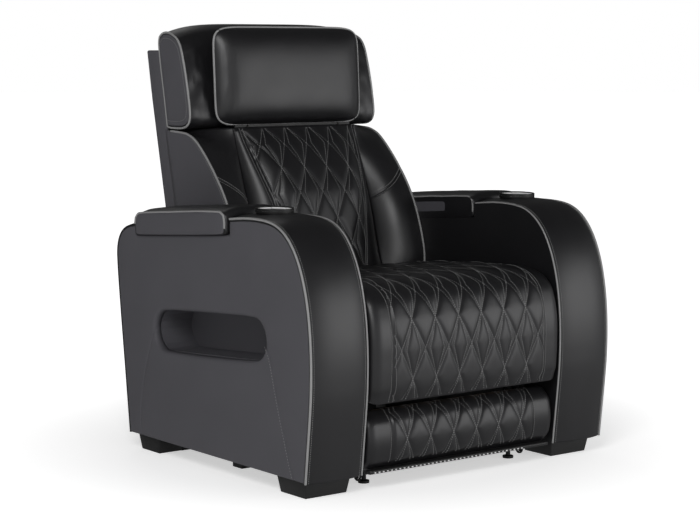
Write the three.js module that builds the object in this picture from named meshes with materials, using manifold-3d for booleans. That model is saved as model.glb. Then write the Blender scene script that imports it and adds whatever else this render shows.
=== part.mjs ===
// Cinema recliner seat: padded arms with cup holders, lidded bins and side pockets, a seat that
// slides forward while the back reclines, a tilting headrest, and a footrest on lazy-tongs links.
// Millimetres. X to the right seen from the front, Y from the arms' front foot to the rear, Z up.

import * as THREE from 'three';
import { mergeVertices } from 'three/addons/utils/BufferGeometryUtils.js';
import Module from 'manifold-3d';

const wasm = await Module();
wasm.setup();

// Clearances
const fit = 0.3; // between pieces that touch
const runningGap = 0.6; // between pieces that turn or slide past each other
const softGap = 1.5; // between a cushion and its neighbour
const overrun = 5; // how far a cutting tool runs past a face

// Arms, one each side of the seat
const seatHalfWidth = 300;
const seatSideGap = 8; // from the seat cushion to an arm
const armWidth = 167;
const armTop = 643;
const armDepth = 834;
const footHeight = 43;
const panelWall = 22;
const bandWall = 24;
const bandCrown = 10;
const armInside = seatHalfWidth + seatSideGap;
const armOutside = armInside + armWidth;
const armMiddle = (armInside + armOutside) / 2;
const armCavity = armWidth - 2 * panelWall;
const baseBoardWall = 18;

// Side outline of an arm: ends and handles of its curves, as shares of its depth and of its
// height over the feet
const armShares = {
  frontFoot: [0, 0],
  shinHandle: [-0.014, 0.16],
  bellyLowHandle: [-0.0276, 0.3],
  belly: [-0.0276, 0.44],
  bellyHighHandle: [-0.0276, 0.71],
  shoulderHandle: [0.022, 0.978],
  shoulder: [0.175, 0.997],
  crestHandle: [0.255, 1.008],
  crest: [0.338, 0.993],
  rearCrest: [0.898, 0.918],
  rearHighHandle: [0.958, 0.91],
  rearCornerHandle: [1.002, 0.87],
  rearCorner: [1, 0.77],
  rearLowHandle: [0.992, 0.66],
  heelHandle: [0.968, 0.4],
  rearFoot: [0.936, 0],
};

// Lid over the storage bin
const lidOverhang = 7.5; // past the arm's outer face
const lidInsideOverhang = 1.8; // past its inner face
const lidBehindCrest = 29.108; // from the arm's crest
const lidFront = armShares.crest[0] * armDepth + lidBehindCrest;
const lidRearInset = 101; // from the arm's rear
const lidRear = armDepth - lidRearInset;
const lidFrontDrop = 43; // from the arm's top to the lid's seat, in front
const lidRearDrop = 75; // and behind
const lidFrontSeat = armTop - lidFrontDrop;
const lidRearSeat = armTop - lidRearDrop;
const lidWall = 52;
const lidCrown = 16;
const lidCorner = 24;
const lidGap = 3;
const lidHingeInset = 8; // the hinge line, in front of the lid's rear face
const lidHingeRise = 41; // and over the seat there
const lidEarRadius = 5.5;
const lidEarWall = 4;
const lidEarInset = 19.5; // from the cavity's walls
const lidEarPlace = armCavity / 2 - lidEarInset; // each side of the arm's middle
const lidPinRadius = 2.5;
const lidPinReach = 6;

// Storage bin
const binWall = 4;
const binFrontInset = 34; // from the lid's front
const binRearInset = 33; // and from its rear
const binDepth = 128; // under the rear of the lid's seat
const binFront = lidFront + binFrontInset;
const binRear = lidRear - binRearInset;
const binFloor = lidRearSeat - binDepth;

// Side pocket in the outer panel
const pocketFront = 157;
const pocketRearInset = 181; // from the arm's rear
const pocketRear = armDepth - pocketRearInset;
const pocketHeight = 104;
const pocketDrop = 298; // from the arm's top to the pocket's middle
const pocketMiddle = armTop - pocketDrop;
const pocketTilt = 3.7 * Math.PI / 180;
const pocketBehind = 27; // left free between its tray and the inner panel
const pocketDepth = armCavity - pocketBehind;
const pocketWall = 4;

// Cup holder
const cupPlace = 236;
const cupBore = 38;
const cupRim = 46.5;
const cupRimHeight = 8;
const cupRimStand = 2;
const cupDepth = 72;
const cupWall = 1.8;
const cupTilt = 4.5 * Math.PI / 180;
const cupSegments = 22;

// Feet
const footSetIn = 35; // narrower than the arm
const footDraft = 11; // narrower on the floor than at its top
const footTopWidth = armWidth - footSetIn;
const footBottomWidth = footTopWidth - footDraft;
const footTopDepth = 118;
const footBottomDepth = 100;
const rearFootDepthShare = 0.86;
const frontFootPlace = 78;
const rearFootInset = 122; // from the arm's rear
const rearFootPlace = armDepth - rearFootInset;

// Control panel on the inner face of one arm
const controlLength = 132;
const controlHeight = 42;
const controlWall = 3;
const controlCorner = 10;
const controlPlace = 270;
const controlDrop = 98; // under the arm's top
const controlLevel = armTop - controlDrop;
const controlPocket = 12;
const controlLip = 7;
const buttonCount = 3;
const buttonPitch = 38;
const buttonRadius = 9;
const buttonCollar = 12;
const buttonCollarWall = 2;
const buttonStand = 2.4;
const buttonTravel = 1.5;

// Hinge of the back, and the side plates that carry it
const backHingeInset = 234; // from the arm's rear
const backHingeY = armDepth - backHingeInset;
const backHingeZ = 360;
const plateInset = 39; // from the seat cushion's side
const plateOutside = seatHalfWidth - plateInset;

// Base under the seat
const glideRadius = 14;
const glideHeight = 8;
const glideNeck = 6;
const railHeight = 25;
const railWall = 20;
const railBottom = 22;
const railInset = 26; // from a side plate's outer face to the rail's middle
const railMiddle = plateOutside - railInset;
const railFront = 72;
const railRearReach = 40; // past the hinge of the back
const railRear = backHingeY + railRearReach;
const crossPlaceShares = [0.45, 0.93]; // of the rails' length, where bars run across under both arms
const crossInset = 35; // from the arms' outer faces
const crossReach = armOutside - crossInset;
const crossWidth = 40;
const rearBoardWall = 22;
const rearBoardHeight = 178;
const rearBoardInset = 99; // from the arms' rear
const rearBoardPlace = armDepth - rearBoardInset;

// Seat
const seatRailWall = 22;
const seatFrameTop = 330;
const seatFrameBottom = 262;
const seatFrameFront = 28;
const seatFrameRearGap = 122; // from the hinge of the back
const seatFrameRear = backHingeY - seatFrameRearGap;
const apronBottom = 209;
const cushionRearGap = 100; // from the hinge of the back
const cushionRear = backHingeY - cushionRearGap;
const cushionFront = -38;
const springCount = 5;
const springRadius = 2.2;
const springWave = 22;
const springTurns = 7;
const springSides = 5;

// Side plates and footrest links
const plateWall = 3;
const plateFlange = 38;
const seatFrameHalfWidth = plateOutside - plateWall - fit;
const plateWindow = 48;
const linkWall = 3;
const linkHalf = 84;
const linkWidth = 18;
const pinRadius = 4.5;
const pinHole = 5.1;
const pinHead = 7.5;
const pinHeadWall = 2;
const shaftRadius = 10;
const foldPivotY = 162;
const foldPivotZ = 105;
const foldedAngle = 78 * Math.PI / 180;
const crankLength = 45;
const crankAngle = 129 * Math.PI / 180;
const crankOffset = 20;
const crankWall = 5;
const controlArm = 78;
const controlArmAngle = -80 * Math.PI / 180;
const openEyeRadius = 9;

// Footrest
const footrestSideGap = 10; // from an arm
const footrestHalfWidth = armInside - footrestSideGap;
const footrestBottom = 46;
const footrestTop = 190;
const footrestFront = -23;
const footrestPadRear = 32;
const footrestBoardWall = 15;
const footrestBoardInset = 10;
const bracketWall = 3;

// Drive unit
const driveRailLevel = 178;
const driveRailFront = 104;
const driveRailInset = 78; // from the seat frame's rear
const driveRailRear = seatFrameRear - driveRailInset;
const driveRailWidth = 26;
const driveRailHeight = 22;
const driveRailWall = 3;
const motorRadius = 34;
const motorLength = 96;
const driveBlockLength = 44;
const driveSlotWall = 6;
const driveSlotHalf = 7.4;

// Back
const hingePinRadius = 8;
const hingeEarRadius = 22;
const hingeEarWall = 6;
const shellSideGap = 6; // from the arms' planes
const shellHalfWidth = armInside - shellSideGap;
const shellWall = 12;
const shellBottom = 305;
const shellTop = 1040;
const shellTopDepth = 58;
const backFrameInset = 26; // from the shell's sides
const backFrameHalfWidth = shellHalfWidth - backFrameInset;
const backFrameRail = 34;
const backFrameDepth = 50;
const backFrameTop = 818;
const bolsterSideGap = 4; // from the arms' planes
const bolsterWidth = 103;
const bolsterCrown = 34;
const bolsterOutside = armInside - bolsterSideGap;
const bolsterInside = bolsterOutside - bolsterWidth;
const bolsterFoot = 446;
const bolsterHead = 818;
const backCushionFoot = 440;
const backCushionHead = 820;
const backSeamInset = 36; // from the bolsters to the quilting's edge, halfway up
const backSeam = bolsterInside - backSeamInset;
const backSeamFootInset = 73; // and at its foot
const backSeamFlare = 55; // wider at its head

// Headrest
const headrestSideGap = 1; // from the arms' planes
const headrestHalfWidth = armInside - headrestSideGap;
const headrestCrown = 26;
const headrestCrownFrom = 1010;
const headrestCrownRun = 60;
const headrestTuckShare = 0.04;
const pillowInset = 67; // from the headrest's sides
const pillowHalfWidth = headrestHalfWidth - pillowInset;
const pillowHeight = 262;
const pillowBottom = 845;
const pillowRoundShare = 0.14;
const pillowSwell = 36;
const pillowEdgeWall = 8;
const pillowEdge = 722;
const pillowLean = 14;
const pillowTopReach = 796;
const headrestHingeY = 700;
const headrestHingeZ = 834;
const headrestArmWall = 4;
const headrestEyeRadius = 7.5;
const headrestTubeRadius = 4.5;
const headrestPlateWall = 3;
const headrestPlateDepth = 90;
const headrestHingeInset = 11; // from the bolsters
const headrestHingeReach = bolsterInside - headrestHingeInset;
const headrestArmInset = 40; // from the ends of the hinge tube
const headrestArmPlace = headrestHingeReach - headrestArmInset;
const headrestBottom = 844;

// Quilting: diamonds between rows of tufts
const tuftPitch = 73;
const tuftRow = 72;
const puff = 7;
const seamDepth = 5;
const seatBorder = 59; // plain leather beside the quilting
const footrestBorder = 73;
const seatSeam = seatHalfWidth - seatBorder;
const seatEndReach = 30; // where its ends round off
const footrestSeam = footrestHalfWidth - footrestBorder;
const footrestEndReach = 24; // where its ends round off

const leatherGloss = { color: 0x232227, roughness: 0.35, metalness: 0 };
const leatherMatte = { color: 0x37363a, roughness: 0.6, metalness: 0 };
const blackSteel = { color: 0x1b1b1d, roughness: 0.45, metalness: 0.8 };
const brightSteel = { color: 0xb9bbbe, roughness: 0.3, metalness: 1 };
const blackPlastic = { color: 0x121214, roughness: 0.5, metalness: 0 };
const timber = { color: 0xa88762, roughness: 0.8, metalness: 0 };

const chair = new THREE.Group();
const sides = [['left', -1], ['right', 1]];

function addPiece(name, geometry, look) {
  const mesh = new THREE.Mesh(geometry, new THREE.MeshStandardMaterial(look));
  mesh.name = name;
  chair.add(mesh);
}

// Geometry and solids

function toSolid(geometry) {
  const bare = geometry.clone();
  bare.deleteAttribute('normal');
  bare.deleteAttribute('uv');
  const merged = mergeVertices(bare, 1e-4);
  return new wasm.Manifold(new wasm.Mesh({
    numProp: 3,
    vertProperties: new Float32Array(merged.attributes.position.array),
    triVerts: new Uint32Array(merged.index.array),
  }));
}

function toGeometry(solid) {
  const mesh = solid.getMesh();
  const geometry = new THREE.BufferGeometry();
  geometry.setAttribute('position', new THREE.BufferAttribute(mesh.vertProperties, 3));
  geometry.setIndex(new THREE.BufferAttribute(mesh.triVerts, 1));
  return geometry;
}

function join(...geometries) {
  return toGeometry(geometries.map(toSolid).reduce((whole, next) => whole.add(next)));
}

function cut(geometry, ...tools) {
  return toGeometry(tools.map(toSolid).reduce((rest, tool) => rest.subtract(tool), toSolid(geometry)));
}

// The outline lies in the side view, Y and Z, and the solid runs in X from one value to the other
const sideView = new THREE.Matrix4().makeBasis(
  new THREE.Vector3(0, 1, 0), new THREE.Vector3(0, 0, 1), new THREE.Vector3(1, 0, 0));

function sideSolid(shape, fromX, toX, curveSegments = 8) {
  const low = Math.min(fromX, toX);
  const depth = Math.abs(toX - fromX);
  const geometry = new THREE.ExtrudeGeometry(shape, { depth, bevelEnabled: false, curveSegments });
  return geometry.applyMatrix4(sideView).translate(low, 0, 0);
}

function block(fromX, toX, fromY, toY, fromZ, toZ) {
  const size = [Math.abs(toX - fromX), Math.abs(toY - fromY), Math.abs(toZ - fromZ)];
  return new THREE.BoxGeometry(...size)
    .translate((fromX + toX) / 2, (fromY + toY) / 2, (fromZ + toZ) / 2);
}

// A round bar along X
function crossBar(radius, fromX, toX, y, z, segments = 16) {
  return new THREE.CylinderGeometry(radius, radius, Math.abs(toX - fromX), segments)
    .rotateZ(Math.PI / 2)
    .translate((fromX + toX) / 2, y, z);
}

function polygon(points) {
  return new THREE.Shape(points.map(([y, z]) => new THREE.Vector2(y, z)));
}

// A slot outline: two round ends joined by straight sides
function slotShape(fromY, fromZ, toY, toZ, radius, arcSteps = 8) {
  const angle = Math.atan2(toZ - fromZ, toY - fromY);
  const points = [];
  for (let step = 0; step <= arcSteps; step += 1) {
    const turn = angle + Math.PI / 2 + Math.PI * step / arcSteps;
    points.push([fromY + radius * Math.cos(turn), fromZ + radius * Math.sin(turn)]);
  }
  for (let step = 0; step <= arcSteps; step += 1) {
    const turn = angle - Math.PI / 2 + Math.PI * step / arcSteps;
    points.push([toY + radius * Math.cos(turn), toZ + radius * Math.sin(turn)]);
  }
  return polygon(points);
}

// Rings of points, each ring with as many as the next, skinned into one closed body
function skin(rings, slopes = () => true) {
  const around = rings[0].length;
  const positions = [];
  const index = [];
  const put = (point) => positions.push(point.x, point.y, point.z);
  rings.forEach((ring) => ring.forEach(put));
  for (let row = 0; row + 1 < rings.length; row += 1) {
    for (let step = 0; step < around; step += 1) {
      const a = row * around + step;
      const b = row * around + (step + 1) % around;
      const c = b + around;
      const d = a + around;
      if (slopes(row, step)) index.push(a, b, c, a, c, d);
      else index.push(a, b, d, b, c, d);
    }
  }
  const last = (rings.length - 1) * around;
  capFaces(rings[0]).forEach(([a, b, c]) => index.push(a, c, b));
  capFaces(rings[rings.length - 1]).forEach(([a, b, c]) => index.push(last + a, last + b, last + c));
  const geometry = new THREE.BufferGeometry();
  geometry.setAttribute('position', new THREE.BufferAttribute(new Float32Array(positions), 3));
  if (volume(positions, index) < 0) index.reverse();
  geometry.setIndex(index);
  return geometry;
}

// Triangles that close a ring, in the ring's own direction
function capFaces(ring) {
  const size = new THREE.Box3().setFromPoints(ring).getSize(new THREE.Vector3());
  const axes = ['x', 'y', 'z'].sort((a, b) => size[b] - size[a]);
  const flat = ring.map((p) => new THREE.Vector2(p[axes[0]], p[axes[1]]));
  const faces = THREE.ShapeUtils.triangulateShape(flat, []);
  const covered = faces.reduce((sum, face) => sum + THREE.ShapeUtils.area(face.map((i) => flat[i])), 0);
  return covered * THREE.ShapeUtils.area(flat) < 0 ? faces.map(([a, b, c]) => [a, c, b]) : faces;
}

function volume(positions, index) {
  const corner = (i) => new THREE.Vector3().fromArray(positions, 3 * index[i]);
  let sum = 0;
  for (let i = 0; i < index.length; i += 3) {
    sum += corner(i).dot(corner(i + 1).cross(corner(i + 2)));
  }
  return sum;
}

// A pad between a front and a rear surface, both given over shares across and along it.
// Its sides are drawn in at half its thickness.
function pad({ across, along, front, rear, tuck, slopes }) {
  const rings = along.map((v) => {
    const ring = across.map((u) => front(u, v));
    [1, 0].forEach((u) => {
      const waist = front(u, v).lerp(rear(u, v), 0.5);
      waist.x += u === 1 ? -tuck : tuck;
      const edge = rear(u, v);
      ring.push(...(u === 1 ? [waist, edge] : [edge, waist]));
    });
    return ring;
  });
  return skin(rings, slopes);
}

// A point on a side-view curve with its outward normal, and the same at equal steps
function curveAt(curve, share, outward) {
  const place = curve.getPointAt(share);
  const run = curve.getTangentAt(share);
  return { y: place.x, z: place.y, ny: -run.y * outward, nz: run.x * outward };
}

function spline(points) {
  return new THREE.SplineCurve(points.map(([y, z]) => new THREE.Vector2(y, z)));
}

const shares = (count) => Array.from({ length: count + 1 }, (_, i) => i / count);

// Arms

function armPoint([depthShare, heightShare]) {
  return new THREE.Vector2(depthShare * armDepth, footHeight + heightShare * (armTop - footHeight));
}

// The straight top between the crest and the rear crest
function topLineAt(y) {
  const from = armPoint(armShares.crest);
  const to = armPoint(armShares.rearCrest);
  return new THREE.Vector2(y, from.y + (to.y - from.y) * (y - from.x) / (to.x - from.x));
}

const lidSlope = (lidRearSeat - lidFrontSeat) / (lidRear - lidFront);
const lidSeatAt = (y) => lidFrontSeat + lidSlope * (y - lidFront);

function armFrontCurves() {
  const [frontFoot, shin, bellyLow, belly, bellyHigh, shoulderHandle, shoulder, crestHandle, crest] = [
    'frontFoot', 'shinHandle', 'bellyLowHandle', 'belly', 'bellyHighHandle', 'shoulderHandle',
    'shoulder', 'crestHandle', 'crest'].map((name) => armPoint(armShares[name]));
  return [
    new THREE.CubicBezierCurve(frontFoot, shin, bellyLow, belly),
    new THREE.CubicBezierCurve(belly, bellyHigh, shoulderHandle, shoulder),
    new THREE.QuadraticBezierCurve(shoulder, crestHandle, crest),
    new THREE.LineCurve(crest, topLineAt(lidFront - lidGap)),
  ];
}

function armRearCurves() {
  const [rearCrest, high, cornerHandle, corner, low, heel, rearFoot] = [
    'rearCrest', 'rearHighHandle', 'rearCornerHandle', 'rearCorner', 'rearLowHandle', 'heelHandle',
    'rearFoot'].map((name) => armPoint(armShares[name]));
  return [
    new THREE.LineCurve(topLineAt(lidRear + lidGap), rearCrest),
    new THREE.CubicBezierCurve(rearCrest, high, cornerHandle, corner),
    new THREE.CubicBezierCurve(corner, low, heel, rearFoot),
  ];
}

function pathOf(curves) {
  const path = new THREE.CurvePath();
  curves.forEach((curve) => path.add(curve));
  return path;
}

function armPanelShape() {
  const steps = [7, 12, 4, 1];
  const rearSteps = [1, 7, 5];
  const points = [];
  armFrontCurves().forEach((curve, i) => points.push(...curve.getPoints(steps[i]).slice(1)));
  [lidFront - lidGap, lidRear + lidGap].forEach((y) => points.push(new THREE.Vector2(y, lidSeatAt(y) - fit)));
  armRearCurves().forEach((curve, i) => points.push(...curve.getPoints(rearSteps[i])));
  points.push(armPoint(armShares.frontFoot));
  const shape = new THREE.Shape();
  shape.setFromPoints(points.filter((p, i) => i === 0 || p.distanceTo(points[i - 1]) > fit));
  return shape;
}

function pocketShape(grow) {
  const radius = pocketHeight / 2;
  const reach = (pocketRear - pocketFront) / 2 - radius;
  const middle = (pocketFront + pocketRear) / 2;
  const dy = reach * Math.cos(pocketTilt);
  const dz = -reach * Math.sin(pocketTilt);
  return slotShape(middle - dy, pocketMiddle - dz, middle + dy, pocketMiddle + dz, radius + grow);
}

// A crowned slab swept along one of the arm's edges, between the two panels
function armBand(curves, sideSign, stepCount) {
  const path = pathOf(curves);
  const half = armCavity / 2 - fit;
  const crownShares = [-1, -0.9, -0.5, 0.5, 0.9, 1];
  const rings = shares(stepCount).map((share) => {
    const { y, z, ny, nz } = curveAt(path, share, 1);
    const ringPoint = (x, out) => new THREE.Vector3(sideSign * armMiddle + x, y + ny * out, z + nz * out);
    const ring = crownShares.map((s) => ringPoint(s * half, bandCrown * (1 - s ** 4)));
    ring.push(ringPoint(half, -bandWall), ringPoint(-half, -bandWall));
    return ring;
  });
  return skin(rings);
}

function cupFrame(geometry, sideSign) {
  const level = topLineAt(cupPlace).y + bandCrown;
  return geometry.rotateX(Math.PI / 2 - cupTilt).translate(sideSign * armMiddle, cupPlace, level);
}

// A full turn of a closed outline of radius and height
function turned(outline, segments) {
  return new THREE.LatheGeometry(outline.map(([r, h]) => new THREE.Vector2(r, h)), segments);
}

function cupHolder(sideSign) {
  const underRim = cupRimStand - cupRimHeight;
  const outline = [
    [0, -cupDepth], [cupBore + cupWall, -cupDepth], [cupBore + cupWall, underRim], [cupRim, underRim],
    [cupRim, cupRimStand - cupWall], [cupRim - cupWall, cupRimStand], [cupBore + cupWall, cupRimStand],
    [cupBore, cupRimStand - cupWall], [cupBore, cupWall - cupDepth], [0, cupWall - cupDepth],
  ];
  return cupFrame(turned(outline, cupSegments), sideSign);
}

function cupCutter(sideSign) {
  const underRim = cupRimStand - cupRimHeight - fit;
  const throat = cupBore + cupWall + fit;
  const outline = [
    [0, -cupDepth], [throat, -cupDepth], [throat, underRim], [cupRim + fit, underRim],
    [cupRim + fit, bandCrown + overrun], [0, bandCrown + overrun],
  ];
  return cupFrame(turned(outline, cupSegments), sideSign);
}

function foot(sideSign, place, depthShare) {
  const rings = [[footTopWidth, footTopDepth, footHeight - fit], [footBottomWidth, footBottomDepth, 0]]
    .map(([width, depth, z]) => [[-1, -1], [1, -1], [1, 1], [-1, 1]].map(([sx, sy]) => (
      new THREE.Vector3(sideSign * armMiddle + sx * width / 2, place + sy * depth * depthShare / 2, z))));
  return skin(rings);
}

function controlShape(length, height, corner) {
  const shape = new THREE.Shape();
  const [y0, y1] = [controlPlace - length / 2, controlPlace + length / 2];
  const [z0, z1] = [controlLevel - height / 2, controlLevel + height / 2];
  shape.absarc(y1 - corner, z1 - corner, corner, 0, Math.PI / 2);
  shape.absarc(y0 + corner, z1 - corner, corner, Math.PI / 2, Math.PI);
  shape.absarc(y0 + corner, z0 + corner, corner, Math.PI, 1.5 * Math.PI);
  shape.absarc(y1 - corner, z0 + corner, corner, 1.5 * Math.PI, 2 * Math.PI);
  return shape;
}

const buttonPlace = (index) => controlPlace + buttonPitch * (index - (buttonCount - 1) / 2);

function buildArms() {
  sides.forEach(([side, sign]) => {
    const outer = sign * armOutside;
    const inner = sign * armInside;
    const outerPanel = armPanelShape();
    outerPanel.holes.push(pocketShape(0));
    addPiece(`${side}_outer_panel`, sideSolid(outerPanel, outer, outer - sign * panelWall), leatherMatte);

    let innerPanel = sideSolid(armPanelShape(), inner, inner + sign * panelWall);
    if (side === 'left') {
      const hollow = controlShape(controlLength - 2 * controlLip, controlHeight - 2 * controlLip,
        controlCorner - controlLip);
      innerPanel = cut(innerPanel, sideSolid(hollow, inner - sign * overrun, inner + sign * controlPocket));
    }
    addPiece(`${side}_inner_panel`, innerPanel, leatherMatte);

    const throat = cupCutter(sign);
    addPiece(`${side}_front_band`, cut(armBand(armFrontCurves(), sign, 22), throat), leatherGloss);
    addPiece(`${side}_rear_band`, armBand(armRearCurves(), sign, 12), leatherGloss);
    addPiece(`${side}_cup_holder`, cupHolder(sign), brightSteel);

    const mouth = outer - sign * (panelWall + fit);
    const tray = sideSolid(pocketShape(pocketWall), mouth, mouth - sign * pocketDepth);
    const hollow = sideSolid(pocketShape(0), mouth + sign * overrun, mouth - sign * (pocketDepth - pocketWall));
    addPiece(`${side}_pocket_tray`, cut(tray, hollow), leatherMatte);

    const binHalf = armCavity / 2 - fit;
    const rim = (y) => lidSeatAt(y) - fit;
    const bin = sideSolid(polygon([[binFront, binFloor], [binRear, binFloor], [binRear, rim(binRear)],
      [binFront, rim(binFront)]]), sign * armMiddle - binHalf, sign * armMiddle + binHalf);
    const binHollow = block(sign * armMiddle - binHalf + binWall, sign * armMiddle + binHalf - binWall,
      binFront + binWall, binRear - binWall, binFloor + binWall, armTop);
    addPiece(`${side}_storage_bin`, join(cut(bin, binHollow), ...lidHinge(sign)), blackPlastic);

    const boardHalf = armCavity / 2 - fit;
    const board = block(sign * armMiddle - boardHalf, sign * armMiddle + boardHalf,
      bandWall + fit * 2, armPoint(armShares.rearFoot).x - bandWall - fit * 2, footHeight,
      footHeight + baseBoardWall);
    addPiece(`${side}_base_board`, board, timber);
    addPiece(`${side}_front_foot`, foot(sign, frontFootPlace, 1), blackPlastic);
    addPiece(`${side}_rear_foot`, foot(sign, rearFootPlace, rearFootDepthShare), blackPlastic);
    addPiece(`${side}_lid`, lid(sign), leatherGloss);
  });
  buildControls();
}

// The padded lid: side-view rings from one side to the other, higher in the middle
function lidOutline(crown, inset) {
  const front = lidFront + inset;
  const rear = lidRear - inset;
  const low = (y) => lidSeatAt(y) + inset;
  const high = (y) => lidSeatAt(y) + lidWall - inset + crown;
  const corner = lidCorner - inset;
  const heel = lidCorner / 2;
  const shape = new THREE.Shape();
  shape.moveTo(front + heel, low(front + heel));
  shape.lineTo(rear - heel, low(rear - heel));
  shape.quadraticCurveTo(rear, low(rear), rear, low(rear) + heel);
  shape.lineTo(rear, high(rear) - corner - crown);
  shape.quadraticCurveTo(rear, high(rear), rear - corner - crown, high(rear - corner - crown));
  shape.lineTo(front + corner, high(front + corner));
  shape.quadraticCurveTo(front, high(front), front, high(front) - corner);
  shape.lineTo(front, low(front) + heel);
  shape.quadraticCurveTo(front, low(front), front + heel, low(front + heel));
  return shape;
}

const lidHingeY = lidRear - lidHingeInset;
const lidHingeZ = lidRearSeat + lidHingeRise;

// Two ears on the bin's rear wall, each with a pin that stands out to both sides
function lidHinge(sideSign) {
  const root = binRear - binWall;
  const low = lidSeatAt(root) - lidEarRadius * 2;
  const ear = polygon([[root, low], [binRear, low], [binRear, lidSeatAt(binRear) - fit],
    [lidHingeY + lidEarRadius, lidHingeZ], [lidHingeY - lidEarRadius, lidHingeZ], [root, lidSeatAt(root)]]);
  return [-1, 1].flatMap((earSign) => {
    const middle = sideSign * armMiddle + earSign * lidEarPlace;
    const from = middle - lidEarWall / 2;
    const to = middle + lidEarWall / 2;
    return [sideSolid(ear, from, to),
      crossBar(lidEarRadius, from, to, lidHingeY, lidHingeZ, 12),
      crossBar(lidPinRadius, from - lidPinReach, to + lidPinReach, lidHingeY, lidHingeZ, 10)];
  });
}

// What the lid needs cut out for the ears: open behind and below, so that it can swing up
function lidHingeCutters(sideSign) {
  const clear = lidEarRadius + runningGap;
  return [-1, 1].flatMap((earSign) => {
    const middle = sideSign * armMiddle + earSign * lidEarPlace;
    const half = lidEarWall / 2 + runningGap;
    const pinHalf = half + lidPinReach;
    return [
      block(middle - half, middle + half, binRear - binWall - clear, lidRear + overrun,
        lidRearSeat - overrun, lidHingeZ + clear),
      crossBar(lidPinRadius + runningGap, middle - pinHalf, middle + pinHalf, lidHingeY, lidHingeZ, 12),
    ];
  });
}

function lid(sideSign) {
  const half = (armWidth + lidOverhang + lidInsideOverhang) / 2;
  const lidMiddle = armMiddle + (lidOverhang - lidInsideOverhang) / 2;
  const widthShares = [-1, -0.94, -0.6, 0, 0.6, 0.94, 1];
  const rings = widthShares.map((share) => {
    const crown = lidCrown * (1 - share ** 4);
    const inset = Math.abs(share) === 1 ? softGap : 0;
    const points = lidOutline(crown, inset).getPoints(4);
    points.pop();
    return points.map((p) => new THREE.Vector3(sideSign * lidMiddle + share * half, p.x, p.y));
  });
  return cut(skin(rings), ...lidHingeCutters(sideSign));
}

function buildControls() {
  const face = -armInside + fit;
  const plate = sideSolid(controlShape(controlLength, controlHeight, controlCorner), face, face + controlWall);
  const holes = [];
  for (let i = 0; i < buttonCount; i += 1) {
    const hole = crossBar(buttonRadius + runningGap, face - overrun, face + controlWall + overrun,
      buttonPlace(i), controlLevel, 20);
    holes.push(hole);
    const cap = crossBar(buttonRadius, face - buttonTravel, face + controlWall + buttonStand,
      buttonPlace(i), controlLevel, 18);
    const collarTop = face - fit;
    const collar = crossBar(buttonCollar, collarTop - buttonCollarWall, collarTop, buttonPlace(i),
      controlLevel, 18);
    addPiece(`control_button_${i + 1}`, join(cap, collar), blackPlastic);
  }
  addPiece('control_panel', cut(plate, ...holes), blackPlastic);
}

// Base under the seat: two rails on glides and the bars that cross under both arms

function buildBase() {
  const parts = [];
  [-1, 1].forEach((sign) => {
    const low = sign * railMiddle - railWall / 2;
    parts.push(block(low, low + railWall, railFront, railRear, railBottom, railBottom + railHeight));
    [railFront + glideRadius, railRear - glideRadius].forEach((y) => {
      const outline = [[0, 0], [glideRadius, 0], [glideRadius, glideHeight - 2], [glideNeck, glideHeight],
        [glideNeck, railBottom + 1], [0, railBottom + 1]];
      parts.push(turned(outline, 16).rotateX(Math.PI / 2).translate(sign * railMiddle, y, 0));
    });
  });
  crossPlaceShares.forEach((share) => {
    const middle = railFront + share * (railRear - railFront);
    parts.push(block(-crossReach, crossReach, middle - crossWidth / 2, middle + crossWidth / 2, railBottom,
      footHeight - fit));
  });
  addPiece('base_rails', join(...parts), blackSteel);

  const half = armInside - fit;
  const rear = block(-half, half, rearBoardPlace - rearBoardWall / 2, rearBoardPlace + rearBoardWall / 2,
    footHeight, footHeight + rearBoardHeight);
  addPiece('rear_cross_rail', rear, timber);
}

// Seat frame, springs and cushion

function buildSeat() {
  const half = seatFrameHalfWidth;
  const outer = block(-half, half, seatFrameFront, seatFrameRear, seatFrameBottom, seatFrameTop);
  const inner = block(-half + seatRailWall, half - seatRailWall, seatFrameFront + seatRailWall,
    seatFrameRear - seatRailWall, seatFrameBottom - overrun, seatFrameTop + overrun);
  addPiece('seat_frame', cut(outer, inner), timber);

  const springLevel = seatFrameTop + springRadius + fit;
  const front = seatFrameFront + seatRailWall / 2;
  const rear = seatFrameRear - seatRailWall / 2;
  const wires = [front, rear].map((y) => crossBar(springRadius, -half + seatRailWall, half - seatRailWall, y,
    springLevel, 6));
  for (let i = 0; i < springCount; i += 1) {
    const middle = (2 * half - 4 * seatRailWall) * (i / (springCount - 1) - 0.5);
    wires.push(sinuousSpring(middle, front, rear, springLevel));
  }
  addPiece('seat_springs', join(...wires), brightSteel);
  addPiece('seat_cushion', seatCushion(), leatherGloss);
}

function sinuousSpring(middle, front, rear, level) {
  const points = [];
  const stepsPerTurn = 4;
  const count = springTurns * stepsPerTurn;
  for (let step = 0; step <= count; step += 1) {
    const sway = springWave * Math.sin(2 * Math.PI * step / stepsPerTurn);
    points.push(new THREE.Vector3(middle + sway, front + (rear - front) * step / count, level));
  }
  const wire = polygon(Array.from({ length: springSides }, (_, i) => {
    const turn = 2 * Math.PI * i / springSides;
    return [springRadius * Math.cos(turn), springRadius * Math.sin(turn)];
  }));
  return new THREE.ExtrudeGeometry(wire, { steps: count, extrudePath: new THREE.CatmullRomCurve3(points) });
}

// Height of the quilting at a place across and along the surface, zero in its seams
function quilt(x, along) {
  const a = x / tuftPitch + along / (2 * tuftRow);
  const b = x / tuftPitch - along / (2 * tuftRow);
  return puff * Math.sqrt(Math.abs(Math.sin(Math.PI * a) * Math.sin(Math.PI * b)));
}

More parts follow.
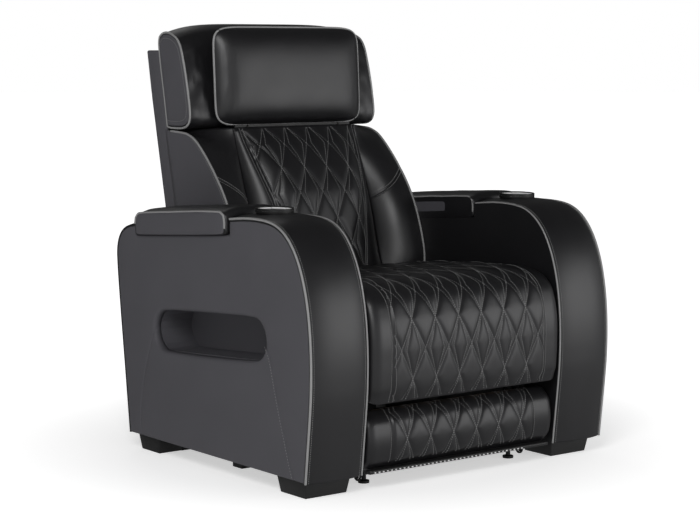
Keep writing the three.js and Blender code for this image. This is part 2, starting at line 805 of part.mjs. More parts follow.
// Columns of a quilted pad: its tuft columns, the seams beside them and the plain borders
function quiltColumns(seam, half, perPitch) {
  const step = tuftPitch / perPitch;
  const reach = Math.floor((seam - step / 2) / step);
  const columns = [];
  for (let i = -reach; i <= reach; i += 1) columns.push(i * step);
  const border = half - seam;
  const edges = [seam, seam + border * 0.15, seam + border * 0.7, seam + border * 0.92, half];
  const all = [...edges.slice().reverse().map((x) => -x), ...columns, ...edges];
  return all.map((x) => 0.5 + x / (2 * half));
}

function quiltSlopes(columnCount, rowOffset) {
  return (row, step) => (row + rowOffset + step + Math.floor(columnCount / 2)) % 2 === 0;
}

// How far a soft edge rises over its border, from none at the edge to all of it inside
function softEdge(distance, radius) {
  const share = Math.min(Math.max(distance / radius, 0), 1);
  return Math.sqrt(1 - (1 - share) ** 2);
}

// Side view of the seat cushion as shares of its depth and of its height over the apron's hem
const seatOuterShares = [[0.03, 0], [0.008, 0.1], [0, 0.32], [0.002, 0.58], [0.03, 0.8], [0.075, 0.915],
  [0.16, 0.985], [0.3, 1], [0.55, 0.985], [0.8, 0.945], [0.985, 0.9], [1, 0.84]];
const seatHeight = 286;
const seatInnerStopShares = [0, 0.1, 0.22, 1];
const apronWall = 40;
const hemRise = 2;

function seatOuterCurve() {
  const depth = cushionRear - cushionFront;
  return spline(seatOuterShares.map(([d, h]) => [cushionFront + d * depth, apronBottom + h * seatHeight]));
}

// The cushion's inside: up the front of the seat frame and along the tops of the springs, with a
// row of its points on each corner
function seatInnerAt(row, rows) {
  const underside = seatFrameTop + 2 * (springRadius + fit);
  const corners = [[cushionFront + apronWall, apronBottom + hemRise], [seatFrameFront - fit, seatFrameBottom],
    [seatFrameFront - fit, underside], [cushionRear - softGap, underside]];
  const stops = seatInnerStopShares.map((share) => Math.round(share * rows));
  const next = Math.max(1, stops.findIndex((stop) => stop >= row));
  const along = (row - stops[next - 1]) / (stops[next] - stops[next - 1]);
  const [from, to] = [corners[next - 1], corners[next]];
  return { y: from[0] + (to[0] - from[0]) * along, z: from[1] + (to[1] - from[1]) * along };
}

function seatCushion() {
  const outer = seatOuterCurve();
  const length = outer.getLength();
  const rows = Math.round(length / (tuftRow / 2));
  const across = quiltColumns(seatSeam, seatHalfWidth, 4);
  const firstTuft = 2 * tuftRow;
  const front = (u, v) => {
    const x = (2 * u - 1) * seatHalfWidth;
    const { y, z, ny, nz } = curveAt(outer, v, 1);
    const edge = softEdge(seatHalfWidth - Math.abs(x), seatEndReach) - 1;
    const seam = Math.abs(Math.abs(x) - seatSeam) < fit ? -seamDepth : 0;
    const inside = Math.abs(x) < seatSeam - fit ? quilt(x, v * length - firstTuft + tuftRow) : 0;
    const fade = Math.min(1, v * rows, (1 - v) * rows);
    const out = 20 * edge * fade + seam * fade + inside * fade;
    return new THREE.Vector3(x, y + ny * out, z + nz * out);
  };
  const rear = (u, v) => {
    const { y, z } = seatInnerAt(Math.round(v * rows), rows);
    return new THREE.Vector3((2 * u - 1) * (seatHalfWidth - 3), y, z);
  };
  return pad({ across, along: shares(rows), front, rear, tuck: 3, slopes: quiltSlopes(across.length, 0) });
}

// Footrest links. A place on the links is an elevation from straight ahead and a distance.

const ahead = (from, elevation, distance) => [
  from[0] - distance * Math.cos(elevation), from[1] + distance * Math.sin(elevation)];

const foldPivot = [foldPivotY, foldPivotZ];
const rising = foldedAngle;
const falling = -foldedAngle;
const highPivot1 = ahead(foldPivot, rising, linkHalf);
const lowPivot1 = ahead(foldPivot, falling, linkHalf);
const crossing1 = ahead(lowPivot1, rising, linkHalf);
const highPivot2 = ahead(crossing1, rising, linkHalf);
const lowPivot2 = ahead(crossing1, falling, linkHalf);
const crossing2 = ahead(lowPivot2, rising, linkHalf);
const highPivot3 = ahead(crossing2, rising, linkHalf);
const lowPivot3 = ahead(crossing2, falling, linkHalf);
const bracketPivot = ahead(highPivot3, controlArmAngle, controlArm);

// Planes of the links, counted outwards from the side plate
const risingPlane = plateOutside + runningGap;
const fallingPlane = risingPlane + linkWall + runningGap;
const headPlane = fallingPlane + linkWall + fit;
const bracketPlane = risingPlane - runningGap - bracketWall;

function linkBar(sign, plane, from, to) {
  const shape = slotShape(from[0], from[1], to[0], to[1], linkWidth / 2, 6);
  return sideSolid(shape, sign * plane, sign * (plane + linkWall));
}

function linkHole(sign, plane, place, radius) {
  return crossBar(radius, sign * (plane - overrun), sign * (plane + linkWall + overrun), place[0], place[1], 16);
}

// A rivet that stands on the rising link and holds a falling link under its head
function rivet(sign, place) {
  const shank = crossBar(pinRadius, sign * (risingPlane + linkWall / 2), sign * (headPlane + pinHeadWall / 2),
    place[0], place[1], 10);
  const head = crossBar(pinHead, sign * headPlane, sign * (headPlane + pinHeadWall), place[0], place[1], 12);
  return join(shank, head);
}

function risingLink(sign, from, to, rivets) {
  return join(linkBar(sign, risingPlane, from, to), ...rivets.map((place) => rivet(sign, place)));
}

function fallingLink(sign, from, to, holes) {
  const tools = holes.map((place) => linkHole(sign, fallingPlane, place, pinHole));
  return cut(linkBar(sign, fallingPlane, from, to), ...tools);
}

function buildFootrestLinks() {
  const shaftTools = (sign, plane) => linkHole(sign, plane, foldPivot, shaftRadius + runningGap);
  const shaftEnd = fallingPlane + linkWall;
  const shaft = crossBar(shaftRadius, -shaftEnd, shaftEnd, foldPivotY, foldPivotZ, 16);
  const arms = [];
  sides.forEach(([side, sign]) => {
    const eye = crossBar(shaftRadius + linkWidth / 4, sign * fallingPlane, sign * (fallingPlane + linkWall),
      foldPivotY, foldPivotZ, 18);
    const drive = join(linkBar(sign, fallingPlane, foldPivot, lowPivot1), eye);
    arms.push(cut(drive, linkHole(sign, fallingPlane, lowPivot1, pinHole)));
    const follower = join(linkBar(sign, risingPlane, foldPivot, highPivot1), rivet(sign, highPivot1),
      crossBar(shaftRadius + linkWidth / 4, sign * risingPlane, sign * (risingPlane + linkWall), foldPivotY,
        foldPivotZ, 18));
    addPiece(`${side}_follower_link`, cut(follower, shaftTools(sign, risingPlane)), blackSteel);
    addPiece(`${side}_rising_link_1`,
      risingLink(sign, lowPivot1, highPivot2, [lowPivot1, crossing1, highPivot2]), blackSteel);
    addPiece(`${side}_falling_link_1`,
      fallingLink(sign, highPivot1, lowPivot2, [highPivot1, crossing1, lowPivot2]), blackSteel);
    const bracketPin = crossBar(pinRadius, sign * (risingPlane + linkWall / 2),
      sign * (bracketPlane - fit - pinHeadWall / 2), highPivot3[0], highPivot3[1], 10);
    const bracketHead = crossBar(pinHead, sign * (bracketPlane - fit), sign * (bracketPlane - fit - pinHeadWall),
      highPivot3[0], highPivot3[1], 12);
    addPiece(`${side}_rising_link_2`,
      join(risingLink(sign, lowPivot2, highPivot3, [lowPivot2, crossing2]), bracketPin, bracketHead), blackSteel);
    const stub = crossBar(pinRadius, sign * (fallingPlane + linkWall / 2), sign * (risingPlane),
      lowPivot3[0], lowPivot3[1], 10);
    addPiece(`${side}_falling_link_2`,
      join(fallingLink(sign, highPivot2, lowPivot3, [highPivot2, crossing2]), stub), blackSteel);
    const stay = join(linkBar(sign, risingPlane, bracketPivot, lowPivot3),
      crossBar(openEyeRadius + linkWidth / 4, sign * risingPlane, sign * (risingPlane + linkWall),
        lowPivot3[0], lowPivot3[1], 18),
      crossBar(pinRadius, sign * (risingPlane + linkWall / 2), sign * (bracketPlane - fit - pinHeadWall / 2),
        bracketPivot[0], bracketPivot[1], 10),
      crossBar(pinHead, sign * (bracketPlane - fit), sign * (bracketPlane - fit - pinHeadWall),
        bracketPivot[0], bracketPivot[1], 12));
    addPiece(`${side}_control_link`,
      cut(stay, linkHole(sign, risingPlane, lowPivot3, openEyeRadius)), blackSteel);
  });
  const crankTip = ahead(foldPivot, Math.PI - crankAngle, crankLength);
  const cranks = [-1, 1].map((sign) => sideSolid(
    slotShape(foldPivotY, foldPivotZ, crankTip[0], crankTip[1], shaftRadius, 6),
    sign * crankOffset, sign * (crankOffset + crankWall)));
  const crankPin = crossBar(pinRadius, -crankOffset - crankWall / 2, crankOffset + crankWall / 2,
    crankTip[0], crankTip[1], 12);
  addPiece('drive_shaft', join(shaft, ...arms, ...cranks, crankPin), blackSteel);
}

// Side plates of the mechanism: they ride on the base rails and carry shaft, seat and back

function sidePlate(sign) {
  const top = seatFrameTop;
  const bottom = railBottom + railHeight + fit;
  const front = foldPivotY - linkWidth * 1.5;
  const rear = backHingeY;
  const shape = new THREE.Shape();
  shape.moveTo(front, bottom);
  shape.lineTo(railRear - railWall, bottom);
  shape.lineTo(railRear - railWall, bottom + railWall);
  shape.quadraticCurveTo(rear, top - hingeEarRadius * 3, rear + hingeEarRadius, backHingeZ);
  shape.absarc(rear, backHingeZ, hingeEarRadius, 0, Math.PI * 0.75);
  shape.lineTo(cushionRear, top);
  shape.lineTo(seatFrameFront + seatRailWall, top);
  shape.lineTo(seatFrameFront + seatRailWall, seatFrameBottom);
  shape.quadraticCurveTo(front, seatFrameBottom, front, foldPivotZ + linkHalf);
  shape.lineTo(front, bottom);
  const hole = new THREE.Path();
  hole.absarc(foldPivotY, foldPivotZ, shaftRadius + runningGap, 0, 2 * Math.PI);
  const window = new THREE.Path();
  window.absarc((foldPivotY + rear) / 2, (bottom + seatFrameBottom) / 2, plateWindow, 0,
    2 * Math.PI);
  shape.holes.push(hole, window);
  const web = sideSolid(shape, sign * (plateOutside - plateWall), sign * plateOutside, 10);
  const flangeInside = sign * (plateOutside - plateFlange);
  const flange = block(flangeInside, sign * plateOutside, front, railRear - railWall, bottom,
    bottom + plateWall);
  const hingePin = crossBar(hingePinRadius, sign * (plateOutside - plateWall / 2),
    sign * (plateOutside - plateWall - hingeEarWall - runningGap * 3), rear, backHingeZ, 14);
  return join(web, flange, hingePin);
}

function buildMechanism() {
  sides.forEach(([side, sign]) => addPiece(`${side}_side_plate`, sidePlate(sign), blackSteel));
  buildFootrestLinks();
  buildDrive();
}

// Drive unit: a rail under the seat frame with a motor at its end and a block that slides along it

function buildDrive() {
  const half = driveRailWidth / 2;
  const low = driveRailLevel - driveRailHeight / 2;
  const high = driveRailLevel + driveRailHeight / 2;
  const channel = cut(
    block(-half, half, driveRailFront, driveRailRear, low, high),
    block(-half + driveRailWall, half - driveRailWall, driveRailFront + driveRailWall,
      driveRailRear - driveRailWall, low - overrun, high - driveRailWall));
  const motor = new THREE.CylinderGeometry(motorRadius, motorRadius, motorLength, 20)
    .translate(0, driveRailRear + motorLength / 2 - driveRailWall, driveRailLevel - driveRailHeight / 2);
  const hanger = block(-half, half, driveRailRear - driveRailWidth, driveRailRear, high - driveRailWall,
    seatFrameBottom - fit);
  const tie = block(-seatFrameHalfWidth + seatRailWall / 2, seatFrameHalfWidth - seatRailWall / 2,
    driveRailRear - driveRailWidth, driveRailRear, seatFrameBottom - fit - driveRailWall,
    seatFrameBottom - fit);
  addPiece('drive_unit', join(channel, motor, hanger, tie), blackSteel);

  const crankTip = ahead(foldPivot, Math.PI - crankAngle, crankLength);
  const inside = half - driveRailWall - runningGap;
  const carriage = block(-inside, inside, crankTip[0] - driveBlockLength / 2, crankTip[0] + driveBlockLength / 2,
    low - fit * 2, high - driveRailWall - runningGap);
  const rise = crankLength * (1 - Math.sin(crankAngle));
  const plateTop = low - runningGap;
  const yoke = block(-inside, inside, crankTip[0] - driveBlockLength / 2, crankTip[0] + driveBlockLength / 2,
    crankTip[1] - driveSlotHalf - driveSlotWall, plateTop);
  const slot = sideSolid(slotShape(crankTip[0], crankTip[1], crankTip[0], crankTip[1] + rise, driveSlotHalf),
    -inside - overrun, inside + overrun);
  addPiece('drive_block', cut(join(carriage, yoke), slot), blackPlastic);
}

// Footrest: a board with two brackets on the links, and the quilted pad in front of it

function buildFootrest() {
  const boardFront = footrestPadRear + fit;
  const boardRear = boardFront + footrestBoardWall;
  const half = footrestHalfWidth - footrestBoardInset;
  const board = block(-half, half, boardFront, boardRear, footrestBottom + footrestBoardInset,
    footrestTop - footrestBoardInset);
  const brackets = [-1, 1].map((sign) => {
    const reach = linkWidth / 2;
    const shape = polygon([
      [boardRear - fit, footrestBottom + footrestBoardInset], [boardRear + reach, bracketPivot[1] - reach * 3],
      [bracketPivot[0] + reach, bracketPivot[1] - reach], [highPivot3[0] + reach, highPivot3[1] - reach],
      [highPivot3[0] + reach, highPivot3[1] + reach / 2], [highPivot3[0] + reach / 2, highPivot3[1] + reach],
      [highPivot3[0] - reach, highPivot3[1] + reach], [boardRear - fit, footrestTop - footrestBoardInset]]);
    const plate = sideSolid(shape, sign * bracketPlane, sign * (bracketPlane + bracketWall));
    const foldedLip = block(sign * bracketPlane, sign * (bracketPlane - linkWidth), boardRear - fit,
      boardRear + bracketWall, footrestBottom + footrestBoardInset * 2, footrestTop - footrestBoardInset * 2);
    return cut(join(plate, foldedLip), ...[highPivot3, bracketPivot].map((place) => (
      linkHole(sign, bracketPlane, place, pinHole))));
  });
  addPiece('footrest_frame', join(board, ...brackets), blackSteel);
  addPiece('footrest_pad', footrestPad(), leatherGloss);
}

function footrestPad() {
  const height = footrestTop - footrestBottom;
  const rows = 6;
  const across = quiltColumns(footrestSeam, footrestHalfWidth, 4);
  const bulge = (v) => Math.sin(Math.PI * v) ** 0.45;
  const front = (u, v) => {
    const x = (2 * u - 1) * footrestHalfWidth;
    const edge = softEdge(footrestHalfWidth - Math.abs(x), footrestEndReach);
    const seam = Math.abs(Math.abs(x) - footrestSeam) < fit ? seamDepth : 0;
    const inside = Math.abs(x) < footrestSeam - fit ? quilt(x, (v - 0.5) * height) : 0;
    const out = (footrestPadRear - footrestFront - puff) * (0.3 + 0.7 * bulge(v) * edge);
    return new THREE.Vector3(x, footrestPadRear - out + (seam - inside) * bulge(v), footrestBottom + v * height);
  };
  const rear = (u, v) => new THREE.Vector3((2 * u - 1) * (footrestHalfWidth - 2), footrestPadRear,
    footrestBottom + v * height);
  return pad({ across, along: shares(rows), front, rear, tuck: -1, slopes: quiltSlopes(across.length, 0) });
}

// Back: shell, frame, quilted middle and two side bolsters

// The rear surface, from the hem to the top
const backRearPoints = [[shellBottom, 803], [627, 871], [907, 932], [shellTop, 956]];

function backRearAt(z) {
  const next = Math.max(1, backRearPoints.findIndex(([level]) => level >= z));
  const [lowZ, lowY] = backRearPoints[next - 1];
  const [highZ, highY] = backRearPoints[next];
  return lowY + (highY - lowY) * (z - lowZ) / (highZ - lowZ);
}

const shellFrontAt = (z) => backRearAt(z) - shellTopDepth;
const cushionRearAt = (z) => backRearAt(z) - shellTopDepth - backFrameDepth - fit;

function backShell() {
  const levels = [shellBottom, 627, 907, shellTop];
  const outline = polygon([...levels.map((z) => [backRearAt(z), z]),
    ...levels.slice().reverse().map((z) => [shellFrontAt(z), z])]);
  const hollow = polygon([...levels.map((z, i) => [backRearAt(z) - shellWall, z + (i === 0 ? -overrun : 0)
    - (i === 3 ? shellWall : 0)]), ...levels.slice().reverse().map((z, i) => [shellFrontAt(z) - overrun,
    z - (i === 0 ? shellWall : 0) - (i === 3 ? overrun : 0)])]);
  return cut(sideSolid(outline, -shellHalfWidth, shellHalfWidth),
    sideSolid(hollow, -shellHalfWidth + shellWall, shellHalfWidth - shellWall));
}

function backFrame() {
  const bottom = backHingeZ + hingeEarRadius;
  const top = backFrameTop;
  const bend = backRearPoints[1][0];
  const depth = backFrameDepth;
  const front = (z) => shellFrontAt(z) - depth;
  const rear = (z) => shellFrontAt(z) - fit;
  const upright = (sign) => sideSolid(polygon([[rear(bottom), bottom], [rear(bend), bend], [rear(top), top],
    [front(top), top], [front(bend), bend], [front(bottom), bottom]]), sign * backFrameHalfWidth,
  sign * (backFrameHalfWidth - backFrameRail));
  const rail = (z) => sideSolid(polygon([[rear(z), z], [rear(z + backFrameRail), z + backFrameRail],
    [front(z + backFrameRail), z + backFrameRail], [front(z), z]]), -backFrameHalfWidth, backFrameHalfWidth);
  const ears = [-1, 1].map((sign) => {
    const inside = plateOutside - plateWall - runningGap;
    const shape = new THREE.Shape();
    shape.absarc(backHingeY, backHingeZ, hingeEarRadius, 0.6 * Math.PI, 1.7 * Math.PI);
    shape.lineTo(rear(bottom), bottom);
    shape.lineTo(rear(bottom + backFrameRail), bottom + backFrameRail);
    shape.lineTo(front(bottom + backFrameRail), bottom + backFrameRail);
    const hole = new THREE.Path();
    hole.absarc(backHingeY, backHingeZ, hingePinRadius + runningGap, 0, 2 * Math.PI);
    shape.holes.push(hole);
    return sideSolid(shape, sign * inside, sign * (inside - hingeEarWall), 8);
  });
  return join(upright(-1), upright(1), rail(bottom), rail(bend - backFrameRail), rail(top - backFrameRail),
    ...ears, ...[-1, 1].map(headrestEar));
}

// An ear that reaches forward from the frame's top rail into the crease under the headrest
function headrestEar(sign) {
  const rootY = shellFrontAt(backFrameTop) - backFrameDepth / 2;
  const arm = polygon([[headrestHingeY, headrestHingeZ - headrestEyeRadius],
    [rootY - headrestEyeRadius, headrestHingeZ - headrestEyeRadius], [rootY - headrestEyeRadius,
      backFrameTop - fit], [rootY, backFrameTop - backFrameRail / 2], [rootY + headrestEyeRadius,
      backFrameTop - fit], [rootY + headrestEyeRadius, headrestHingeZ], [headrestHingeY, headrestHingeZ]]);
  const from = headrestArmPlace * sign - headrestArmWall / 2;
  const to = headrestArmPlace * sign + headrestArmWall / 2;
  const eye = crossBar(headrestEyeRadius, from, to, headrestHingeY, headrestHingeZ, 16);
  const bore = crossBar(headrestTubeRadius + runningGap, from - overrun, to + overrun, headrestHingeY,
    headrestHingeZ, 16);
  return cut(join(sideSolid(arm, from, to), eye), bore);
}

// Front of the back cushion down its middle, and its groove beside the bolsters
const backFrontPoints = [[516, 440], [528, 510], [546, 590], [568, 673], [598, 733], [637, 790], [684, 824]];
const backGroovePoints = [[560, 440], [585, 510], [608, 590], [640, 673], [660, 733], [676, 780], [690, 820]];
const bolsterEdgePoints = [[512, 452], [516, 502], [547, 598], [577, 655], [600, 688], [635, 730], [690, 784],
  [745, 816]];

function backCushion() {
  const frontCurve = spline(backFrontPoints);
  const grooveCurve = spline(backGroovePoints);
  const half = bolsterInside - fit;
  const length = frontCurve.getLength();
  const rows = Math.round(length / (tuftRow / 2));
  const across = quiltColumns(backSeam, half, 4);
  const front = (u, v) => {
    const x = (2 * u - 1) * half;
    const { y, z, ny, nz } = curveAt(frontCurve, v, 1);
    const groove = grooveCurve.getPointAt(v);
    const seamHalf = bolsterInside - backSeamFootInset + backSeamFlare * v;
    const sideShare = Math.min(1, Math.max(0, (Math.abs(x) - seamHalf * 0.6) / (half - seamHalf * 0.6)));
    const drop = sideShare ** 1.6;
    const inside = Math.abs(x) < seamHalf ? quilt(x, (v - 1) * length + tuftRow) : 0;
    const fade = Math.min(1, v * rows, (1 - v) * rows);
    const out = inside * fade;
    return new THREE.Vector3(x, (y + ny * out) * (1 - drop) + groove.x * drop,
      (z + nz * out) * (1 - drop) + groove.y * drop);
  };
  const rear = (u, v) => {
    const z = backCushionFoot + v * (backCushionHead - backCushionFoot);
    return new THREE.Vector3((2 * u - 1) * half, cushionRearAt(z), z);
  };
  return pad({ across, along: shares(rows), front, rear, tuck: 0, slopes: quiltSlopes(across.length, 0) });
}

function bolster(sign) {
  const grooveCurve = spline(backGroovePoints);
  const edgeCurve = spline(bolsterEdgePoints);
  const across = [0, 0.12, 0.35, 0.6, 0.85, 1];
  const front = (u, v) => {
    const x = bolsterInside + fit + u * (bolsterOutside - bolsterInside - fit);
    const inner = grooveCurve.getPointAt(v);
    const outer = edgeCurve.getPointAt(v);
    const across = Math.sin(Math.PI * Math.min(1, u * 0.92 + 0.02));
    const crown = bolsterCrown * across * (0.55 + 0.45 * Math.sin(Math.PI * v));
    return new THREE.Vector3(sign * x, inner.x * (1 - u) + outer.x * u - crown, inner.y * (1 - u) + outer.y * u);
  };
  const rear = (u, v) => {
    const z = bolsterFoot + v * (bolsterHead - bolsterFoot);
    const x = bolsterInside + fit + u * (bolsterOutside - bolsterInside - fit);
    const y = u === 1 ? shellFrontAt(z) - fit : cushionRearAt(z);
    return new THREE.Vector3(sign * x, y, z);
  };
  const rings = shares(12).map((v) => {
    const ring = across.map((u) => front(u, v));
    const behindFrame = backFrameHalfWidth + fit;
    const shellLine = rear(1, v);
    const frameLine = rear(0, v);
    ring.push(shellLine);
    ring.push(new THREE.Vector3(sign * behindFrame, shellLine.y, shellLine.z));
    ring.push(new THREE.Vector3(sign * behindFrame, frameLine.y, frameLine.z));
    ring.push(frameLine);
    return ring;
  });
  return skin(rings);
}

function buildBack() {
  addPiece('back_shell', backShell(), leatherMatte);
  addPiece('back_frame', backFrame(), timber);
  addPiece('back_cushion', backCushion(), leatherGloss);
  sides.forEach(([side, sign]) => addPiece(`${side}_bolster`, bolster(sign), leatherGloss));
}

// Headrest: cushion, face pillow and the arms that carry it on its hinge line

const headrestOutline = [[846, 846], [829, 844], [763, 846], [736, 866], [742, 922], [765, 1012], [789, 1062],
  [839, 1084], [878, 1076], [884, 1040]];

// Its side view at a place across, with the crown raised to a share of its full height
function headrestSection(crownShare, drawnIn) {
  const points = spline([...headrestOutline, headrestOutline[0]]).getPoints(26);
  points.pop();
  const middle = new THREE.Box2().setFromPoints(points).getCenter(new THREE.Vector2());
  return points.map((p) => {
    const rise = Math.max(0, Math.min(1, (p.y - headrestCrownFrom) / headrestCrownRun));
    const inside = p.clone().sub(middle).multiplyScalar(1 - drawnIn).add(middle);
    return inside.setY(inside.y + headrestCrown * rise * crownShare);
  });
}

function headrestCushion() {
  const widthShares = [-1, -0.97, -0.85, -0.5, 0, 0.5, 0.85, 0.97, 1];
  return skin(widthShares.map((share) => {
    const section = headrestSection(1 - Math.abs(share) ** 5, Math.abs(share) === 1 ? headrestTuckShare : 0);
    return section.map((p) => new THREE.Vector3(share * headrestHalfWidth, p.x, p.y));
  }));
}


// The face pillow: its back lies on the headrest, its front swells between its edges
function headrestPillow() {
  const widthShares = [-1, -0.97, -0.88, -0.6, -0.25, 0.25, 0.6, 0.88, 0.97, 1];
  const heightShares = [0, 0.03, 0.12, 0.3, 0.5, 0.7, 0.88, 0.97, 1];
  const pillow = skin(widthShares.map((share) => {
    const tall = pillowHeight * (1 - pillowRoundShare + pillowRoundShare * (1 - Math.abs(share) ** 9) ** 0.5);
    const low = pillowBottom + (pillowHeight - tall) / 2;
    const level = (h) => low + h * tall;
    const behind = (h) => new THREE.Vector3(share * pillowHalfWidth, pillowTopReach, level(h));
    const inFront = (h) => {
      const swell = ((1 - Math.abs(2 * h - 1) ** 4) * (1 - share ** 6)) ** 0.5;
      return behind(h).setY(pillowEdgeY(h) - pillowEdgeWall - pillowSwell * swell);
    };
    return [...heightShares.map(behind), ...heightShares.slice().reverse().map(inFront)];
  }));
  return cut(pillow, headrestCushion().translate(0, -fit, 0));
}

const pillowEdgeY = (heightShare) => pillowEdge + pillowLean * heightShare;

function headrestBracket() {
  const tube = crossBar(headrestTubeRadius, -headrestHingeReach, headrestHingeReach, headrestHingeY,
    headrestHingeZ, 14);
  const clear = headrestArmWall / 2 + runningGap;
  const spans = [[-headrestHingeReach, -headrestArmPlace - clear], [-headrestArmPlace + clear,
    headrestArmPlace - clear], [headrestArmPlace + clear, headrestHingeReach]];
  const plateTop = headrestBottom - fit;
  const plates = spans.map(([from, to]) => block(from, to, headrestHingeY - headrestTubeRadius / 2,
    headrestHingeY + headrestPlateDepth, plateTop - headrestPlateWall, plateTop));
  const webs = spans.map(([from, to]) => block(from, to, headrestHingeY - headrestTubeRadius / 2,
    headrestHingeY + headrestTubeRadius / 2, headrestHingeZ, plateTop - headrestPlateWall / 2));
  return join(tube, ...plates, ...webs);
}

function buildHeadrest() {
  addPiece('headrest_bracket', headrestBracket(), blackSteel);
  addPiece('headrest_cushion', headrestCushion(), leatherGloss);
  addPiece('headrest_pillow', headrestPillow(), leatherGloss);
}

buildArms();
buildBase();
buildSeat();
buildMechanism();
buildFootrest();
buildBack();
buildHeadrest();

// The origin lies on the floor under the middle of the whole seat
const extent = new THREE.Box3().setFromObject(chair);
chair.position.y = -(extent.min.y + extent.max.y) / 2;
chair.updateMatrixWorld(true);

export default chair;
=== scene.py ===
import math

import bmesh
import bpy
import numpy as np
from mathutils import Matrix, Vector, geometry, noise


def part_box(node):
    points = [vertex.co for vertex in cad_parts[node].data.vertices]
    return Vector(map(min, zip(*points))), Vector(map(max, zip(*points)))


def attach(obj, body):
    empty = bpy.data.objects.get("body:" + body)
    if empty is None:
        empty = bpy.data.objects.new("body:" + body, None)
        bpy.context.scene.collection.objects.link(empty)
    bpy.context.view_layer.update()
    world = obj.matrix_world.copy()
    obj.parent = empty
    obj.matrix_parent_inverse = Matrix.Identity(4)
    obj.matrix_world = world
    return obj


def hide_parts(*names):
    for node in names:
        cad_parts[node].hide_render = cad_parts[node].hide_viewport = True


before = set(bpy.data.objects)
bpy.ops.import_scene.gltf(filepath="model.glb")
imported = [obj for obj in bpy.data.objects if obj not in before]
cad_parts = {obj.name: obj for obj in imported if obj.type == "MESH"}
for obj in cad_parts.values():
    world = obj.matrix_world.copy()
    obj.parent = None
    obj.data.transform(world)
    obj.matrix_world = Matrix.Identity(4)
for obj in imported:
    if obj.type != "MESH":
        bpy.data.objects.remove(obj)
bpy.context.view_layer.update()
bpy.ops.object.select_all(action="DESELECT")

# Cinema recliner seat: padded leather over the frame's pieces. Lengths are in metres.
MM = 0.001
SIDES = (("left", -1), ("right", 1))

# Spacing of a mesh's points on quilted faces and on plain ones
FINE = 3 * MM
COARSE = 12 * MM

# Quilting: diamonds between rows of tufts, with a narrower diamond inside each
TUFT_PITCH = 73 * MM
TUFT_ROW = 72 * MM
INNER_DIAMOND_SHARE = 0.59
QUILT_PUFF = 3.6 * MM
QUILT_DOME = 2.2 * MM
SEAM_SOFTNESS = 5 * MM
SEAM_DEPTH = 2.6 * MM
SEAM_WIDTH = 3 * MM

# Piping, thread and stitches
PIPING_RADIUS = 3 * MM
THREAD_RADIUS = 0.8 * MM
STITCH_LENGTH = 4.4 * MM
STITCH_PITCH = 5.4 * MM
THREAD_LIFT = 0.7 * MM
LOW_THREAD_LIFT = 0.3 * MM
THREAD_ROW_STEP = 6 * MM
SEAM_PIECES = 14
SEAM_END_GAP = 1 * MM

# What counts as a corner of an outline, as a straight run, and as the same point
SHARP_CORNER = math.radians(35)
STRAIGHT = math.radians(1.2)
SAME_POINT = 1e-6
TINY = 1e-9


# Lines and outlines

def catmull(points, closed, steps=10):
    """Points on a smooth curve through the given ones, with knots by the roots of the chords."""
    pts = [np.asarray(p, float) for p in points]
    if len(pts) < 3 and not closed:
        return np.array(pts)
    if closed:
        pts = [pts[-1]] + pts + pts[:2]
    else:
        pts = [2 * pts[0] - pts[1]] + pts + [2 * pts[-1] - pts[-2]]
    out = []
    for i in range(1, len(pts) - 2):
        p0, p1, p2, p3 = pts[i - 1:i + 3]
        t1 = np.linalg.norm(p1 - p0) ** 0.5
        t2 = t1 + np.linalg.norm(p2 - p1) ** 0.5
        t3 = t2 + np.linalg.norm(p3 - p2) ** 0.5
        for k in range(steps):
            t = t1 + (t2 - t1) * k / steps
            a1 = p0 + (p1 - p0) * (t / t1)
            a2 = p1 + (p2 - p1) * ((t - t1) / (t2 - t1))
            a3 = p2 + (p3 - p2) * ((t - t2) / (t3 - t2))
            b1 = a1 + (a2 - a1) * (t / t2)
            b2 = a2 + (a3 - a2) * ((t - t1) / (t3 - t1))
            out.append(b1 + (b2 - b1) * ((t - t1) / (t2 - t1)))
    if not closed:
        out.append(pts[-2])
    return np.array(out)


class Line:
    """A smooth line through points, read by the length along it. Sharp corners are kept."""

    def __init__(self, points, closed=False, corner=SHARP_CORNER):
        pts = np.array(points, float)
        n = len(pts)
        sharp = [i for i in range(n) if (closed or 0 < i < n - 1) and turn_at(pts, i) > corner]
        if closed and not sharp:
            dense = catmull(pts, True)
            dense = np.vstack([dense, dense[:1]])
        else:
            if closed:
                pts = np.roll(pts, -sharp[0], axis=0)
                stops = [(i - sharp[0]) % n for i in sharp] + [n]
                pts = np.vstack([pts, pts[:1]])
            else:
                stops = [0] + sharp + [n - 1]
            runs = [catmull(pts[a:b + 1], False) for a, b in zip(stops, stops[1:])]
            dense = np.vstack([runs[0]] + [r[1:] for r in runs[1:]])
        self.closed = closed
        self.points = dense
        steps = np.linalg.norm(np.diff(dense, axis=0), axis=1)
        self.lengths = np.concatenate([[0], np.cumsum(steps)])
        self.length = self.lengths[-1]

    def at(self, s):
        s = np.asarray(s, float)
        if self.closed:
            s = s % self.length
        return np.stack([np.interp(s, self.lengths, self.points[:, k])
                         for k in range(self.points.shape[1])], -1)

    def run(self, s, reach=1.5 * MM):
        """Direction of the line, over a short reach to each side."""
        s = np.asarray(s, float)
        if self.closed:
            ahead, behind = s + reach, s - reach
        else:
            ahead, behind = np.minimum(s + reach, self.length), np.maximum(s - reach, 0)
        return unit(self.at(ahead) - self.at(behind))

    def nearest(self, place):
        """The length along the line at its point nearest to a place."""
        return self.lengths[np.argmin(np.linalg.norm(self.points - np.asarray(place), axis=1))]

    def spaced(self, step):
        """Points along the line at even steps."""
        return self.at(np.arange(0, self.length, step))


def unit(vectors):
    return vectors / np.maximum(np.linalg.norm(vectors, axis=-1, keepdims=True), TINY)


